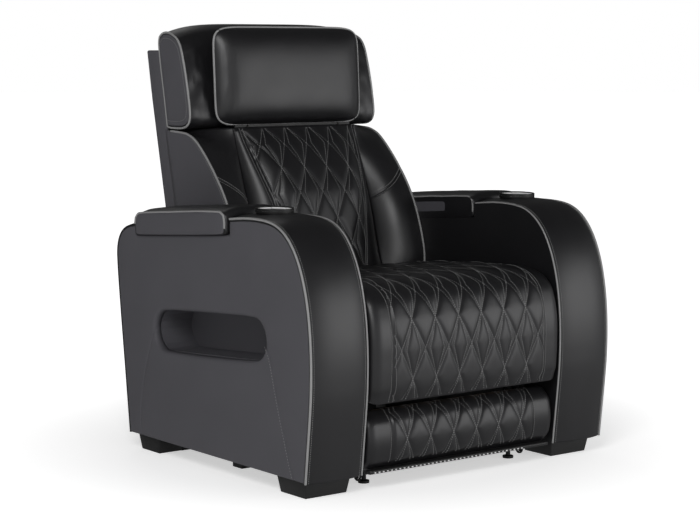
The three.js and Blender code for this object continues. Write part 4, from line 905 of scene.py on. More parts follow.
class BackMiddle:
    """The quilted middle of the back: flat down its middle, falling into a groove at each side."""

    def __init__(self):
        self.front = Line(from_foot(BACK_FRONT))
        self.groove = Line(from_foot(BACK_GROOVE))
        self.start, self.end = 0, self.front.length
        self.half = GROOVE_X - GROOVE_GAP
        self.row_from = self.front.nearest(from_foot([BACK_TUFT])[0])
        self.quilt_reach = BACK_QUILT_REACH
        self.thread_from, self.thread_to = 4 * MM, self.end - 3 * MM
        self.border_from, self.border_to = 4 * MM, self.end - 4 * MM

    def seam_at(self, s):
        return BACK_SEAM_HALF + (self.front.at(s)[..., 1] - BACK_SEAM_LEVEL) * BACK_SEAM_SLOPE

    def place(self, x, s):
        x, s = np.broadcast_arrays(np.asarray(x, float), np.asarray(s, float))
        deep = self.groove.at(s / self.end * self.groove.length)
        from_x = BACK_FLAT_SHARE * self.seam_at(s)
        share = np.clip((np.abs(x) - from_x) / (self.half - from_x), 0, 1)
        drop = (share ** BACK_FALL_POWER)[..., None]
        return np.concatenate([x[..., None], self.front.at(s) * (1 - drop) + deep * drop], -1)

    def base(self, x, s, reach=2 * MM):
        """Surface without quilting, and its normal, at a place across and a length along."""
        across = self.place(x + reach, s) - self.place(x - reach, s)
        above, below = np.clip(s + reach, 0, self.end), np.clip(s - reach, 0, self.end)
        along = self.place(x, above) - self.place(x, below)
        return self.place(x, s), unit(np.cross(across, along))

    def height(self, x, s):
        seam = self.seam_at(s)
        plain = np.clip((np.abs(x) - seam) / (self.half - seam), 0, 1)
        return quilted_relief(self, x, s) + BACK_ROLL * np.sin(math.pi * plain ** 0.8)


def build_back_middle():
    pad = BackMiddle()
    x = np.linspace(-pad.half, pad.half, int(2 * pad.half / FINE) + 1)
    s = np.linspace(0, pad.end, int(pad.end / FINE) + 1)
    xs, ss = np.meshgrid(x, s, indexing="ij")
    point, out = pad.base(xs, ss)
    fade = np.clip(np.minimum(ss, pad.end - ss) / BACK_FADE, 0, 1)
    front = point + out * (pad.height(xs, ss) * fade)[..., None]
    rear_z = np.linspace(front[0, -1, 2] - 2 * MM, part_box("back_cushion")[0].z, 24)
    rear = np.stack([shell_front_at(rear_z) - BACK_DEPTH, rear_z], -1)
    rings = [np.concatenate([row, at_x(place, rear)]) for place, row in zip(x, front)]
    finish_cover(loft("back_middle_cover", rings), "back", "back_cushion")
    sew("back_quilt_stitches", quilt_threads(pad), "back")
    sew("back_border_stitches", border_threads(pad, BORDER_OFFSETS, BACK_THREAD_LIFT), "back")


def shell_front_at(z):
    """The line of the back shell's front edge, at each height."""
    outline = section("back_shell", SHELL_SAMPLE)[0]
    levels = sorted({round(v, 4) for v in outline[:, 1]})
    fronts = [outline[np.abs(outline[:, 1] - v) < 1 * MM, 0].min() for v in levels]
    return np.interp(z, levels, fronts)


# Bolsters

BOLSTER_EDGE = [(512, 452), (516, 502), (547, 598), (577, 655), (600, 688), (635, 730), (690, 784),
                (722, 808), (756, 821), (800, 825), (838, 827)]
BOLSTER_IN = GROOVE_X + GROOVE_GAP
BOLSTER_OUT = 304 * MM
BOLSTER_CROWN = 34 * MM
BOLSTER_RISE = 420 * MM
SHELL_GAP = 0.6 * MM
TRIM_FROM = 440 * MM
CROSS_SEAM_OUTER = (614, 715)
CROSS_SEAM_INNER_SHARE = 0.5
CROSS_SEAM_DEPTH = 3 * MM
CROSS_SEAM_WIDTH = 4 * MM
CROSS_THREAD_SHARE = 0.011
BOLSTER_FOLDS = 1.6 * MM
GUSSET_LIFT = 0.6 * MM
GUSSET_PUFF = 0.7 * MM
GUSSET_WIDTH = 60 * MM

bolster_groove = Line(from_foot(BACK_GROOVE))
bolster_edge = Line(from_foot(BOLSTER_EDGE))


def bolster_surface(u, v):
    """The bolster's front at shares across, from its groove outwards, and up."""
    inner = bolster_groove.at(v * bolster_groove.length)
    outer = bolster_edge.at(v * bolster_edge.length)
    crown = BOLSTER_CROWN * np.sin(math.pi * np.minimum(1, u * 0.92 + 0.02) ** 0.85) \
        * (0.55 + 0.45 * np.sin(math.pi * v))
    x = BOLSTER_IN + u * (BOLSTER_OUT - BOLSTER_IN)
    return np.stack([x, inner[..., 0] * (1 - u) + outer[..., 0] * u - crown,
                     inner[..., 1] * (1 - u) + outer[..., 1] * u], -1)


def bolster_cross_seam(u):
    """Height share of the curved seam across a bolster."""
    outer_share = bolster_edge.nearest(from_foot([CROSS_SEAM_OUTER])[0]) / bolster_edge.length
    return outer_share - (outer_share - CROSS_SEAM_INNER_SHARE) * (1 - u) ** 1.6


def bolster_front():
    """Rows of points over a bolster's front, with its seam and its folds."""
    across = np.concatenate([np.linspace(0, 0.08, 7)[:-1], np.linspace(0.08, 1, 34)])
    us, vs = np.meshgrid(across, np.linspace(0, 1, 150), indexing="xy")
    front = bolster_surface(us, vs)
    from_seam = (vs - bolster_cross_seam(us)) * BOLSTER_RISE
    front[..., 1] += CROSS_SEAM_DEPTH * np.exp(-(from_seam / CROSS_SEAM_WIDTH) ** 2)
    folds = ripple(front * np.array([1.0, 0.4, 0.28]), 38 * MM, 3.0)
    front[..., 1] += BOLSTER_FOLDS * folds * np.sin(math.pi * us)
    return front


def build_bolster(side, sign):
    """A bolster's cover, the piping along its outer edge, the gusset beside it and their stitches."""
    front = bolster_front()
    groove, edge = front[:, 0], front[:, -1]
    beside = at_x(BOLSTER_OUT, np.stack([shell_front_at(edge[:, 2]) - SHELL_GAP, edge[:, 2]], -1))
    behind = at_x(BOLSTER_IN, np.stack([shell_front_at(groove[:, 2]) - BACK_DEPTH, groove[:, 2]], -1))
    rings = np.concatenate([front, beside[:, None], behind[:, None]], 1)
    cover = loft(f"{side}_bolster_cover", mirrored(rings, sign))
    finish_cover(cover, "back", f"{side}_bolster")
    trimmed = edge[edge[:, 2] > TRIM_FROM]
    piping = trimmed[::4] + np.array([1 * MM, -1 * MM, 0])
    finish(tube(f"{side}_bolster_piping", mirrored(piping, sign)), "pale_piping", "back")
    build_gusset(side, sign, edge, beside)
    row = at_x(BOLSTER_OUT + GUSSET_LIFT + GUSSET_PUFF, trimmed[:, 1:] + np.array([10 * MM, 0]))
    out = np.tile([sign * 1.0, 0, 0], (len(row), 1))
    sew(f"{side}_gusset_stitches", [(mirrored(row, sign), out)], "back")
    sew_cross_seam(side, sign)


def build_gusset(side, sign, edge, beside):
    """The plain strip between a bolster's edge and the shell."""
    steps = np.linspace(0, 1, 14)
    front_line = at_x(BOLSTER_OUT + GUSSET_LIFT, edge[:, 1:] + np.array([1 * MM, 0]))
    rear_line = at_x(BOLSTER_OUT + GUSSET_LIFT, beside[:, 1:] + np.array([3 * MM, 0]))
    sheet = front_line[:, None] * (1 - steps)[None, :, None] + rear_line[:, None] * steps[None, :, None]
    rise = soft_edge(steps * GUSSET_WIDTH, 22 * MM) * soft_edge((1 - steps) * GUSSET_WIDTH, 14 * MM)
    sheet[..., 0] += GUSSET_PUFF * rise
    inner = sheet[:, ::-1].copy()
    inner[..., 0] = BOLSTER_OUT + 0.1 * MM
    finish(loft(f"{side}_back_gusset", mirrored(np.concatenate([sheet, inner], 1), sign)),
           "matte_leather", "back")


def sew_cross_seam(side, sign):
    """A row of stitches on each side of the seam across a bolster."""
    rows = []
    for way in (-1, 1):
        u = np.linspace(0.12, 0.97, 30)
        v = bolster_cross_seam(u) + way * CROSS_THREAD_SHARE
        place = bolster_surface(u, v) + np.array([0, -0.4 * MM, 0])
        ahead = bolster_surface(u + 0.01, v) - bolster_surface(u - 0.01, v)
        above = bolster_surface(u, v + 0.01) - bolster_surface(u, v - 0.01)
        rows.append((mirrored(place, sign), mirrored(unit(np.cross(ahead, above)), sign)))
    sew(f"{side}_bolster_stitches", rows, "back")


# Headrest

HEADREST_DROP = 11 * MM
HEADREST_FOLDS = 4 * MM
HEADREST_FOLDS_FROM = 0.72

# The end panels, from the rim in: size as a share of the outline, and millimetres beyond the cushion's end
HEADREST_END = [(0.97, -3), (1.0, -0.4), (0.97, 0.88), (0.9, 2.16), (0.75, 3.12), (0.5, 3.6), (0.2, 3.76)]
HEADREST_PIPING_INSET = 1.5 * MM
HEADREST_PIPING_SIZE = 1.035
HEADREST_STITCH_RISE = 2.6 * MM
HEADREST_STITCH_SIZE = 0.9

PILLOW_HALF = 238 * MM
PILLOW_HEIGHT = 258 * MM
PILLOW_BOTTOM = 843 * MM
PILLOW_EDGE = 714 * MM
PILLOW_LEAN = 14 * MM
PILLOW_SWELL = 40 * MM
PILLOW_SQUARENESS = 9
PILLOW_FOLDS = 1.3 * MM
PILLOW_SIDE_FOLDS = 1 * MM


def build_headrest():
    rings, centre, _, half = swollen_rings("headrest_cushion", count=150, around=260, middle_sample=0.4 * MM,
                                           end_share=0.965, power=5, draw_in=0.05, edge_radius=12 * MM)
    below = np.clip((centre[1] - rings[..., 2]) / (centre[1] - rings[..., 2].min()), 0, 1)
    rings[..., 2] -= HEADREST_DROP * below ** 2
    out = rings - np.concatenate([[0], centre])
    out[..., 0] = 0
    out = unit(out)
    across = np.abs(rings[..., 0]) / half
    front = np.clip(-out[..., 1] * 1.6, 0, 1)
    near_side = np.clip((across - HEADREST_FOLDS_FROM) / 0.12, 0, 1) * np.clip((1 - across) / 0.03, 0, 1)
    folds = ripple(rings * np.array([1.0, 1.0, 0.45]), 24 * MM, 8.0)
    rings += out * (HEADREST_FOLDS * folds * front * near_side)[..., None]
    finish_cover(loft("headrest_cover", rings), "headrest", "headrest_cushion")
    for side, sign in SIDES:
        build_headrest_end(side, sign, rings[-1] if sign > 0 else rings[0], centre, half)


def build_headrest_end(side, sign, ring, centre, half):
    """The plain panel at one end of the headrest, with its piping and its stitches."""
    flat = ring[:, 1:] - centre
    path = at_x(sign * (half - HEADREST_PIPING_INSET), centre + flat[::6] * HEADREST_PIPING_SIZE)
    finish(tube(f"{side}_headrest_piping", path, closed=True), "pale_piping", "headrest")
    steps = [(grow, sign * rise * MM) for grow, rise in HEADREST_END]
    finish(puffed_end(f"{side}_headrest_gusset", ring, centre, sign * half, steps),
           "matte_leather", "headrest")
    row = at_x(sign * (half + HEADREST_STITCH_RISE), centre + flat * HEADREST_STITCH_SIZE)
    row = np.vstack([row, row[:1]])
    out = np.tile([sign * 1.0, 0, 0], (len(row), 1))
    sew(f"{side}_headrest_stitches", [(row, out)], "headrest")


def pillow_rim(turn):
    """The pillow's outline, as shares of its half width and half height: a box with round corners."""
    c, s = np.cos(turn), np.sin(turn)
    power = 2 / PILLOW_SQUARENESS
    return np.sign(c) * np.abs(c) ** power, np.sign(s) * np.abs(s) ** power


def pillow_place(a, b):
    """A place on the pillow's rim plane at shares across and up; the plane leans with the headrest."""
    height = b / 2 + 0.5
    y = FOOT_LINE + PILLOW_EDGE + PILLOW_LEAN * height
    return np.stack([a * PILLOW_HALF, y + 0 * a, PILLOW_BOTTOM + PILLOW_HEIGHT * height], -1)


def pillow_turns(count):
    """Turns round the outline with places about evenly spaced along it."""
    fine = np.linspace(0, 2 * math.pi, 4001)
    a, b = pillow_rim(fine)
    steps = np.hypot(np.diff(a) * PILLOW_HALF, np.diff(b) * PILLOW_HEIGHT / 2)
    lengths = np.concatenate([[0], np.cumsum(steps)])
    return np.interp(np.linspace(0, lengths[-1], count, endpoint=False), lengths, fine)


def build_pillow():
    a, b = pillow_rim(pillow_turns(260))
    reach = np.sin(np.linspace(0.012, math.pi / 2, 60))
    front_a, front_b = reach[:, None] * a[None], reach[:, None] * b[None]
    rounding = np.sqrt(1 - reach[:, None] ** 14)
    swell = np.sqrt((1 - np.abs(front_a) ** 7) * (1 - np.abs(front_b) ** 3.2)) * rounding
    front = pillow_place(front_a, front_b)
    front[..., 1] -= PILLOW_SWELL * swell
    folds = ripple(front * np.array([1, 1, 0.6]), 70 * MM, 21.0)
    near_side = np.clip(np.abs(front_a) * 3 - 2, 0, 1)
    tight = ripple(front * np.array([2.2, 1, 0.6]), 24 * MM, 4.0) * near_side
    front[..., 1] += (PILLOW_FOLDS * folds + PILLOW_SIDE_FOLDS * tight) * rounding
    rear = pillow_place(front_a, front_b)[::-1][1:]
    rear[..., 1] += 0.5 * PILLOW_SWELL * rounding[::-1][1:]
    cover = loft("headrest_pillow_cover", np.concatenate([front, rear]))
    finish_cover(cover, "headrest", "headrest_pillow")
    finish(tube("pillow_piping", pillow_place(a, b), closed=True), "pale_piping", "headrest")


# Arms

BAND_IN = ARM_IN + 1.2 * MM
BAND_OUT = ARM_OUT - 1.5 * MM
BAND_WALL = 6 * MM
BAND_STEP = 4 * MM
FRONT_CROWN = 11 * MM
REAR_CROWN = 9 * MM
CROWN_POWER = 2.6
BAND_STITCH_INSET = 9 * MM
ARM_PIPING_RISE = 1.4 * MM
INNER_PIPING_RADIUS = 2.2 * MM
CORD_STEP = 6 * MM
CUP_HOLE = 41 * MM
CUP_HOLE_DEPTH = 120 * MM


def arm_runs():
    """The arm's front and rear outlines, from the front foot up and from the lid down."""
    loop = section("right_outer_panel", ARM_OUT - 2 * MM)[0]
    corners = [i for i in range(len(loop)) if turn_at(loop, i) > SHARP_CORNER]
    runs = []
    for a, b in zip(corners, corners[1:] + [corners[0] + len(loop)]):
        run = np.array([loop[k % len(loop)] for k in range(a, b + 1)])
        if len(run) > 4:
            runs.append(run)
    runs.sort(key=lambda r: r[:, 0].mean())
    return Line(runs[0]), Line(runs[-1])


def band_rings(line, crown):
    """Rings of a padded band along an arm's outline, domed across, with more points near its edges."""
    s = np.linspace(0, line.length, int(line.length / BAND_STEP) + 1)
    near_edge = 0.12 * np.linspace(0, 1, 9) ** 1.5
    share = np.concatenate([-1 + near_edge, np.linspace(-0.88, 0.88, 30)[1:-1], 1 - near_edge[::-1]])
    middle, half = (BAND_IN + BAND_OUT) / 2, (BAND_OUT - BAND_IN) / 2
    height = crown * (1 - np.abs(share) ** CROWN_POWER)
    under = np.linspace(1, -1, 6)
    rings = []
    for place, out in zip(line.at(s), outward(line.run(s))):
        top = np.column_stack([middle + share * half, place + out * height[:, None]])
        low = np.column_stack([middle + under * half, place - out * BAND_WALL + 0 * under[:, None]])
        rings.append(np.concatenate([top, low]))
    return np.array(rings)


def build_arm(side, sign):
    """An arm's padded bands in front and behind, and the piping and stitches along the front one."""
    front, rear = arm_runs()
    cover = loft(f"{side}_arm_front_cover", mirrored(band_rings(front, FRONT_CROWN), sign))
    cup_low, cup_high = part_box(f"{side}_cup_holder")
    cup = (cup_low + cup_high) / 2
    bpy.ops.mesh.primitive_cylinder_add(vertices=64, radius=CUP_HOLE, depth=CUP_HOLE_DEPTH,
                                        location=(cup.x, cup.y, cup_high.z))
    cut_away(cover, bpy.context.active_object)
    finish_cover(cover, "base", f"{side}_front_band")
    cover = loft(f"{side}_arm_rear_cover", mirrored(band_rings(rear, REAR_CROWN), sign))
    finish_cover(cover, "base", f"{side}_rear_band")

    s = np.arange(0, front.length, CORD_STEP)
    flat = front.at(s)
    out = at_x(0, outward(front.run(s)))
    pipings = (("outer", BAND_OUT, PIPING_RADIUS), ("inner", ARM_IN + 1 * MM, INNER_PIPING_RADIUS))
    for place, x, radius in pipings:
        path = at_x(x, flat) + out * ARM_PIPING_RISE
        finish(tube(f"{side}_arm_{place}_piping", mirrored(path, sign), radius), "pale_piping", "base")
    for place, x in (("outer", ARM_OUT - BAND_STITCH_INSET), ("inner", ARM_IN + BAND_STITCH_INSET)):
        share = abs(x - ARM_MIDDLE) / ((BAND_OUT - BAND_IN) / 2)
        rise = FRONT_CROWN * (1 - share ** CROWN_POWER) + LOW_THREAD_LIFT
        path = at_x(x, flat) + out * rise
        sew(f"{side}_arm_{place}_stitches", [(mirrored(path, sign), mirrored(out, sign))], "base")


# Lids

LID_FOLDS = 1.3 * MM
LID_PIPING_SIZE = 1.012
LID_PIPING_REAR = 14 * MM
LID_PIPING_FRONT = 42 * MM
LID_STITCH_INSET = 7 * MM

# The end panels, from the rim in: size as a share of the outline, and millimetres of rise at full puff
LID_END = ((0.985, -2.5), (1.0, 0.0), (0.98, 1.2), (0.93, 2.2), (0.84, 3.1), (0.6, 3.9), (0.2, 4.2))

# How far each end panel lies in from the lid's end, its puff, and how far in from it the piping lies
LID_ENDS = {"outer": (0.8 * MM, 1.15, 0.5 * MM), "inner": (1.6 * MM, 0.15, 2.4 * MM)}

# Slots for the hinge ears: half the distance between them, their size, and where their middle lies
EAR_OFFSET = 42 * MM
EAR_SLOT = (5.4 * MM, 60 * MM, 52 * MM)
EAR_FROM_LID_REAR = 14 * MM
EAR_BELOW_BIN_TOP = 20 * MM


def build_lid(side, sign):
    node = f"{side}_lid"
    rings, centre, middle_x, half = swollen_rings(node, count=64, around=220, middle_sample=0.5 * MM,
                                                  end_share=0.93, power=4, draw_in=0.035,
                                                  edge_radius=7 * MM, inset=1 * MM)
    top = np.clip((rings[..., 2] - centre[1]) / (20 * MM), 0, 1)
    rings[..., 2] += LID_FOLDS * top * ripple(rings * np.array([1, 0.6, 1]), 45 * MM, 5.0)
    cover = loft(f"{side}_lid_cover", rings)
    cut_hinge_slots(cover, side, node)
    finish_cover(cover, node, node)
    for end_sign in (-1, 1):
        end = "outer" if end_sign == sign else "inner"
        build_lid_end(side, node, rings, centre, middle_x, half, end_sign, end)


def build_lid_end(side, node, rings, centre, middle_x, half, end_sign, end):
    """An end panel of a lid, its piping over the top and the stitches beside it."""
    low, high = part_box(node)
    inset, puff, piping_inset = LID_ENDS[end]
    face_x = middle_x + end_sign * (half - inset)
    ring = rings[-1] if end_sign > 0 else rings[0]
    steps = [(grow, end_sign * rise * MM * puff) for grow, rise in LID_END]
    finish(puffed_end(f"{side}_lid_end_{end}", ring, centre, face_x, steps), "matte_leather", node)
    forward = np.clip((high.y - ring[:, 1]) / (high.y - low.y), 0, 1)
    above = ring[:, 2] > low.z + LID_PIPING_REAR + (LID_PIPING_FRONT - LID_PIPING_REAR) * forward
    first = next(k for k in range(len(ring)) if above[k] and not above[k - 1])
    order = [(first + k) % len(ring) for k in range(above.sum())]
    path = at_x(face_x - end_sign * piping_inset, centre + (ring[order[::4], 1:] - centre) * LID_PIPING_SIZE)
    finish(tube(f"{side}_lid_piping_{end}", path), "pale_piping", node)
    stitched_x = face_x - end_sign * LID_STITCH_INSET
    stitched = rings[np.argmin(np.abs(rings[:, 0, 0] - stitched_x))]
    row = stitched[order][8:-8]
    out = unit(row - np.array([row[0, 0], *centre]))
    finish(stitches(f"{side}_lid_stitches_{end}", [(row + out * LOW_THREAD_LIFT, out)]), "dark_thread",
           node)


def cut_hinge_slots(cover, side, node):
    """Room for the two ears that carry the lid's pins, open behind and below."""
    bin_low, bin_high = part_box(f"{side}_storage_bin")
    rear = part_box(node)[1].y
    middle_x = (bin_low.x + bin_high.x) / 2
    for ear in (-1, 1):
        place = (middle_x + ear * EAR_OFFSET, rear - EAR_FROM_LID_REAR, bin_high.z - EAR_BELOW_BIN_TOP)
        bpy.ops.mesh.primitive_cube_add(size=1, location=place)
        cutter = bpy.context.active_object
        cutter.scale = EAR_SLOT
        bpy.ops.object.transform_apply(location=True, rotation=True, scale=True)
        cut_away(cover, cutter)


# Outer side panels

PANEL_REAR_SEAM = [(653, 331), (680, 264), (701, 208), (714, 153), (722, 97), (722, 44)]
PANEL_FRONT_SEAM = [(161, 354), (140, 318), (108, 216), (76, 124), (60, 78), (46, 44)]
PANEL_FACE = ARM_OUT - 2 * MM
PANEL_PUFF = 2.2 * MM
PANEL_SEAM_DEPTH = 1.7 * MM
PANEL_SEAM_WIDTH = 1.7 * MM
PANEL_TUCK_DEPTH = 0.9 * MM
PANEL_TUCK_WIDTH = 9 * MM
PANEL_STITCH_PITCH = 7 * MM
PANEL_STITCH_OFFSET = 3.4 * MM
GRID_STEP = 15 * MM
GRID_FROM_EDGE = 19 * MM
GRID_FROM_LIP = 21 * MM
GRID_FROM_SEAM = 14 * MM
EDGE_STEP = 4 * MM
LIP_STEP = 3 * MM
EDGE_ROUND = 6 * MM
LIP_ROUND = 9 * MM
EDGE_INSETS = np.array([0.7, 1.6, 3.0, 5.0, 8.0, 13.0]) * MM
LIP_INSETS = np.array([1.0, 2.3, 4.0, 6.5, 10.0, 15.0]) * MM
SEAM_OFFSETS = np.array([-9, -5, -2.6, -1.2, 0, 1.2, 2.6, 5, 9]) * MM


def inside_polygon(points, loop):
    """Which points lie inside a closed outline."""
    x, y = points[:, 0][:, None], points[:, 1][:, None]
    ax, ay = loop[:, 0][None], loop[:, 1][None]
    bx, by = np.roll(loop[:, 0], -1)[None], np.roll(loop[:, 1], -1)[None]
    crosses = (ay > y) != (by > y)
    with np.errstate(divide="ignore", invalid="ignore"):
        cross_x = ax + (y - ay) * (bx - ax) / (by - ay)
    return (crosses & (x < cross_x)).sum(1) % 2 == 1


def to_line(points, line_points):
    """Distance from each point to the nearest of a line's points."""
    out = np.full(len(points), math.inf)
    for start in range(0, len(line_points), 400):
        part = line_points[start:start + 400]
        out = np.minimum(out, np.linalg.norm(points[:, None] - part[None], axis=2).min(1))
    return out


def round_over(distance, radius):
    inside = np.clip(distance / radius, 0, 1)
    return radius * (1 - np.sqrt(1 - (1 - inside) ** 2))


class PanelFace:
    """The side view of the outer panel: its outline, its pocket and two seams, and triangles between."""

    def __init__(self):
        loops = section("right_outer_panel", PANEL_FACE)
        self.outline = Line(loops[0], closed=True)
        self.pocket = Line(loops[1], closed=True)
        self.seams = [Line(from_foot(PANEL_REAR_SEAM)), Line(from_foot(PANEL_FRONT_SEAM))]
        self.edge = self.outline.spaced(EDGE_STEP)
        self.lip = self.pocket.spaced(LIP_STEP)
        self.edge_fine = self.outline.spaced(1 * MM)
        self.lip_fine = self.pocket.spaced(1 * MM)
        self.seam_fine = np.vstack([line.spaced(1 * MM) for line in self.seams])
        self.points, self.faces = self.triangles()

    def inside(self, points):
        return inside_polygon(points, self.edge) & ~inside_polygon(points, self.lip)

    def inner_points(self):
        """Rows of points along the borders and the seams, and a grid between them."""
        points = []
        edge_out = outward(self.outline.run(np.arange(0, self.outline.length, EDGE_STEP)))
        lip_out = outward(self.pocket.run(np.arange(0, self.pocket.length, LIP_STEP)))
        for inset in EDGE_INSETS:
            ring = self.edge - edge_out * inset
            points.append(ring[to_line(ring, self.edge_fine) > 0.85 * inset])
        for inset in LIP_INSETS:
            ring = self.lip + lip_out * inset
            points.append(ring[to_line(ring, self.lip_fine) > 0.85 * inset])
        for line in self.seams:
            s = np.arange(3 * MM, line.length, 4 * MM)
            across = outward(line.run(s))
            for offset in SEAM_OFFSETS:
                ring = line.at(s) + across * offset
                to_border = np.minimum(to_line(ring, self.edge_fine), to_line(ring, self.lip_fine))
                points.append(ring[to_border > 1 * MM])
        low, high = self.edge.min(0), self.edge.max(0)
        grid = np.stack(np.meshgrid(np.arange(low[0], high[0], GRID_STEP),
                                    np.arange(low[1], high[1], GRID_STEP)), -1).reshape(-1, 2)
        for line, gap in ((self.edge_fine, GRID_FROM_EDGE), (self.lip_fine, GRID_FROM_LIP),
                          (self.seam_fine, GRID_FROM_SEAM)):
            grid = grid[to_line(grid, line) > gap]
        points.append(grid)
        points = np.vstack(points)
        return points[self.inside(points)]

    def triangles(self):
        points = np.vstack([self.edge, self.lip, self.inner_points()])
        edges, lips = len(self.edge), len(self.lip)
        borders = [(i, (i + 1) % edges) for i in range(edges)]
        borders += [(edges + i, edges + (i + 1) % lips) for i in range(lips)]
        found = geometry.delaunay_2d_cdt([Vector(p) for p in points], borders, [], 0, SAME_POINT / 10)
        flat = np.array([tuple(v) for v in found[0]])
        faces = np.array([f for f in found[2] if len(f) == 3])
        return flat, faces[self.inside(flat[faces].mean(1))]

    def relief(self):
        """How far each point stands out: puffed, rounded over at the borders, and tucked at the seams."""
        to_edge, to_lip, to_seam = (to_line(self.points, fine)
                                    for fine in (self.edge_fine, self.lip_fine, self.seam_fine))
        x = PANEL_PUFF * (1 - np.exp(-to_edge / (26 * MM))) * (1 - 0.6 * np.exp(-to_lip / (20 * MM)))
        x -= round_over(to_edge, EDGE_ROUND) + round_over(to_lip, LIP_ROUND)
        x -= PANEL_SEAM_DEPTH * np.exp(-(to_seam / PANEL_SEAM_WIDTH) ** 2)
        return x - PANEL_TUCK_DEPTH * np.exp(-to_seam / PANEL_TUCK_WIDTH)


def build_outer_panel(side, sign):
    """The upholstered outer side: rounded over its edges and into the pocket, with two seams."""
    panel = PanelFace()
    count = len(panel.points)
    front = np.column_stack([PANEL_FACE + panel.relief(), panel.points])
    back = at_x(panel_low.x, panel.points)
    faces = panel.faces.tolist() + (panel.faces[:, ::-1] + count).tolist()
    edges = [(int(p), int(q)) for a, b, c in panel.faces for p, q in ((a, b), (b, c), (c, a))]
    known = set(edges)
    faces += [[b, a, a + count, b + count] for a, b in edges if (b, a) not in known]
    cover = new_object(f"{side}_outer_cover", mirrored(np.vstack([front, back]), sign), faces)
    finish(cover, "matte_leather", "base", replaces=(f"{side}_outer_panel",))
    seam = panel.seams[1]
    s = np.arange(6 * MM, seam.length - 3 * MM, 5 * MM)
    row = at_x(PANEL_FACE + PANEL_PUFF - 1 * MM, seam.at(s) + outward(seam.run(s)) * PANEL_STITCH_OFFSET)
    out = np.tile([1.0, 0, 0], (len(s), 1))
    sew(f"{side}_outer_stitches", [(mirrored(row, sign), mirrored(out, sign))], "base",
        pitch=PANEL_STITCH_PITCH)


# Cup holders

CUP_RIM = 46.5 * MM
CUP_BORE = 42.5 * MM
CUP_RIM_WIRE = 2.7 * MM
CUP_DEPTH = 68 * MM
CUP_TILT = math.radians(-1)
CUP_FLANGE = 12 * MM
CUP_RISE = 1.6 * MM
CUP_FORWARD = 3 * MM
CUP_RING_RISE = 0.6 * MM
CUP_CORNER = math.radians(40)

# Steps of the cup's inside, from the rim down: how far each lies in from the last, and how far it sinks
CUP_INSIDE = ((CUP_RIM - CUP_BORE - 1.5 * MM, 2.5 * MM), (1.5 * MM, CUP_DEPTH - 1.2 * MM), (3 * MM, 1.6 * MM))
CUP_OUTSIDE = (CUP_RIM - CUP_BORE - 2 * MM, CUP_DEPTH - 9 * MM)


def select_facing(obj, direction, above):
    """Selects, in edit mode, the faces that look one way and lie above a height."""
    bm = bmesh.from_edit_mesh(obj.data)
    for face in bm.faces:
        face.select = face.normal.dot(Vector(direction)) > 0.95 and face.calc_center_median().z > above
    bmesh.update_edit_mesh(obj.data)


def inset_and_sink(thickness, drop):
    bpy.ops.mesh.inset(thickness=thickness)
    bpy.ops.mesh.extrude_region_move(TRANSFORM_OT_translate={"value": (0, 0, -drop)})


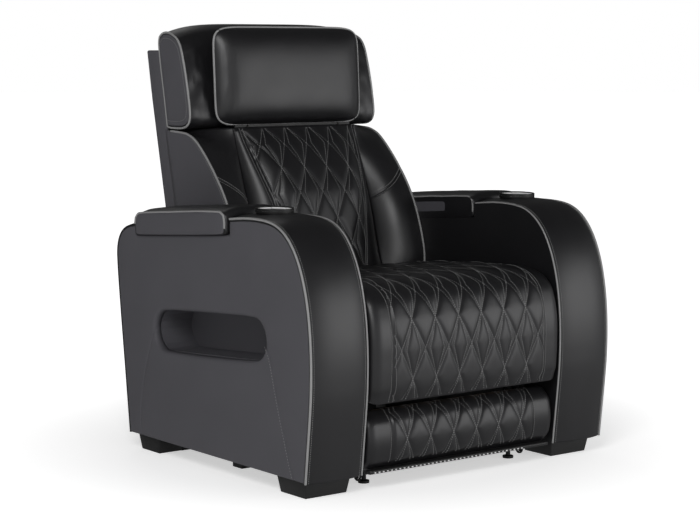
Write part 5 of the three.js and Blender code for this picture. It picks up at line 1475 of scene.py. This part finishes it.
def build_cup_holder(side):
    """A cup holder's well under a flange, and the bright ring round its rim."""
    node = f"{side}_cup_holder"
    bpy.ops.mesh.primitive_cylinder_add(vertices=72, radius=CUP_RIM, depth=CUP_FLANGE,
                                        location=(0, 0, -CUP_FLANGE / 2))
    cup = bpy.context.active_object
    cup.name = f"{side}_cup_well"
    bpy.ops.object.mode_set(mode="EDIT")
    bpy.ops.mesh.select_all(action="DESELECT")
    bpy.ops.mesh.select_mode(type="FACE")
    select_facing(cup, (0, 0, 1), -1 * MM)
    for thickness, drop in CUP_INSIDE:
        inset_and_sink(thickness, drop)
    bpy.ops.mesh.select_all(action="DESELECT")
    select_facing(cup, (0, 0, -1), -CUP_DEPTH)
    inset_and_sink(*CUP_OUTSIDE)
    bpy.ops.object.mode_set(mode="OBJECT")
    apply_modifier(cup, "BEVEL", width=1.1 * MM, segments=3, limit_method="ANGLE", angle_limit=CUP_CORNER)
    low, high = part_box(node)
    place = Vector(((low.x + high.x) / 2, (low.y + high.y) / 2 - CUP_FORWARD, high.z + CUP_RISE))
    cup.select_set(True)
    cup.rotation_euler = (-CUP_TILT, 0, 0)
    cup.location = place
    bpy.ops.object.transform_apply(location=True, rotation=True, scale=True)
    bpy.ops.object.shade_smooth_by_angle(angle=CUP_CORNER)
    cup.select_set(False)
    finish(cup, "black_steel", "base", replaces=(node,))

    turns = np.linspace(0, 2 * math.pi, 96, endpoint=False)[:, None]
    lean = np.array([0, math.cos(CUP_TILT), -math.sin(CUP_TILT)])
    around = np.cos(turns) * np.array([1.0, 0, 0]) + np.sin(turns) * lean
    circle = np.array(place) + np.array([0, 0, CUP_RING_RISE]) + (CUP_RIM - CUP_RIM_WIRE) * around
    finish(tube(f"{side}_cup_ring", circle, CUP_RIM_WIRE, 12, closed=True), "cup_steel", "base")


# Other rigid pieces

# How far the black cloth hangs below the rear board: a dark sheet as painted shade in the gap under the seat
SHADE_HEM_DROP = 28 * MM


def build_shell():
    finish(rounded_copy("back_shell_cover", "back_shell", 7 * MM, 4), "matte_leather", "back",
           replaces=("back_shell",))


def build_rear_board():
    """The board across the base behind, in black cloth that is turned under its lower edge and hangs below
    it. The black cloth is partly real; the hanging hem is painted shade, a dark sheet that fills the gap
    under the seat where shade falls.
    """
    board = rounded_copy("rear_board_cover", "rear_cross_rail", 2.5 * MM)
    low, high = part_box("rear_cross_rail")
    # The lower half drops by the hem: a dark sheet as painted shade under the seat
    for vertex in board.data.vertices:
        if vertex.co.z < (low.z + high.z) / 2:
            vertex.co.z -= SHADE_HEM_DROP
    finish(board, "black_cloth_painted_shade", "base", ("rear_cross_rail",))


def build_feet(side):
    for end in ("front", "rear"):
        finish(rounded_copy(f"{side}_{end}_foot_block", f"{side}_{end}_foot", 2.5 * MM), "black_plastic",
               "base", replaces=(f"{side}_{end}_foot",))


def build_controls():
    finish(rounded_copy("control_plate", "control_panel", 0.8 * MM), "black_plastic", "base",
           replaces=("control_panel",))
    for number in (1, 2, 3):
        finish(rounded_copy(f"control_cap_{number}", f"control_button_{number}", 1.2 * MM, 4),
               "button_metal", f"button_{number}", (f"control_button_{number}",))


build_floor()
build_world()
build_lamps()
build_camera()
build_seat()
build_footrest()
build_footrest_strip()
build_back_middle()
build_headrest()
build_pillow()
build_shell()
build_rear_board()
build_controls()
for side, sign in SIDES:
    build_bolster(side, sign)
    build_arm(side, sign)
    build_cup_holder(side)
    build_feet(side)
    build_lid(side, sign)
    build_outer_panel(side, sign)
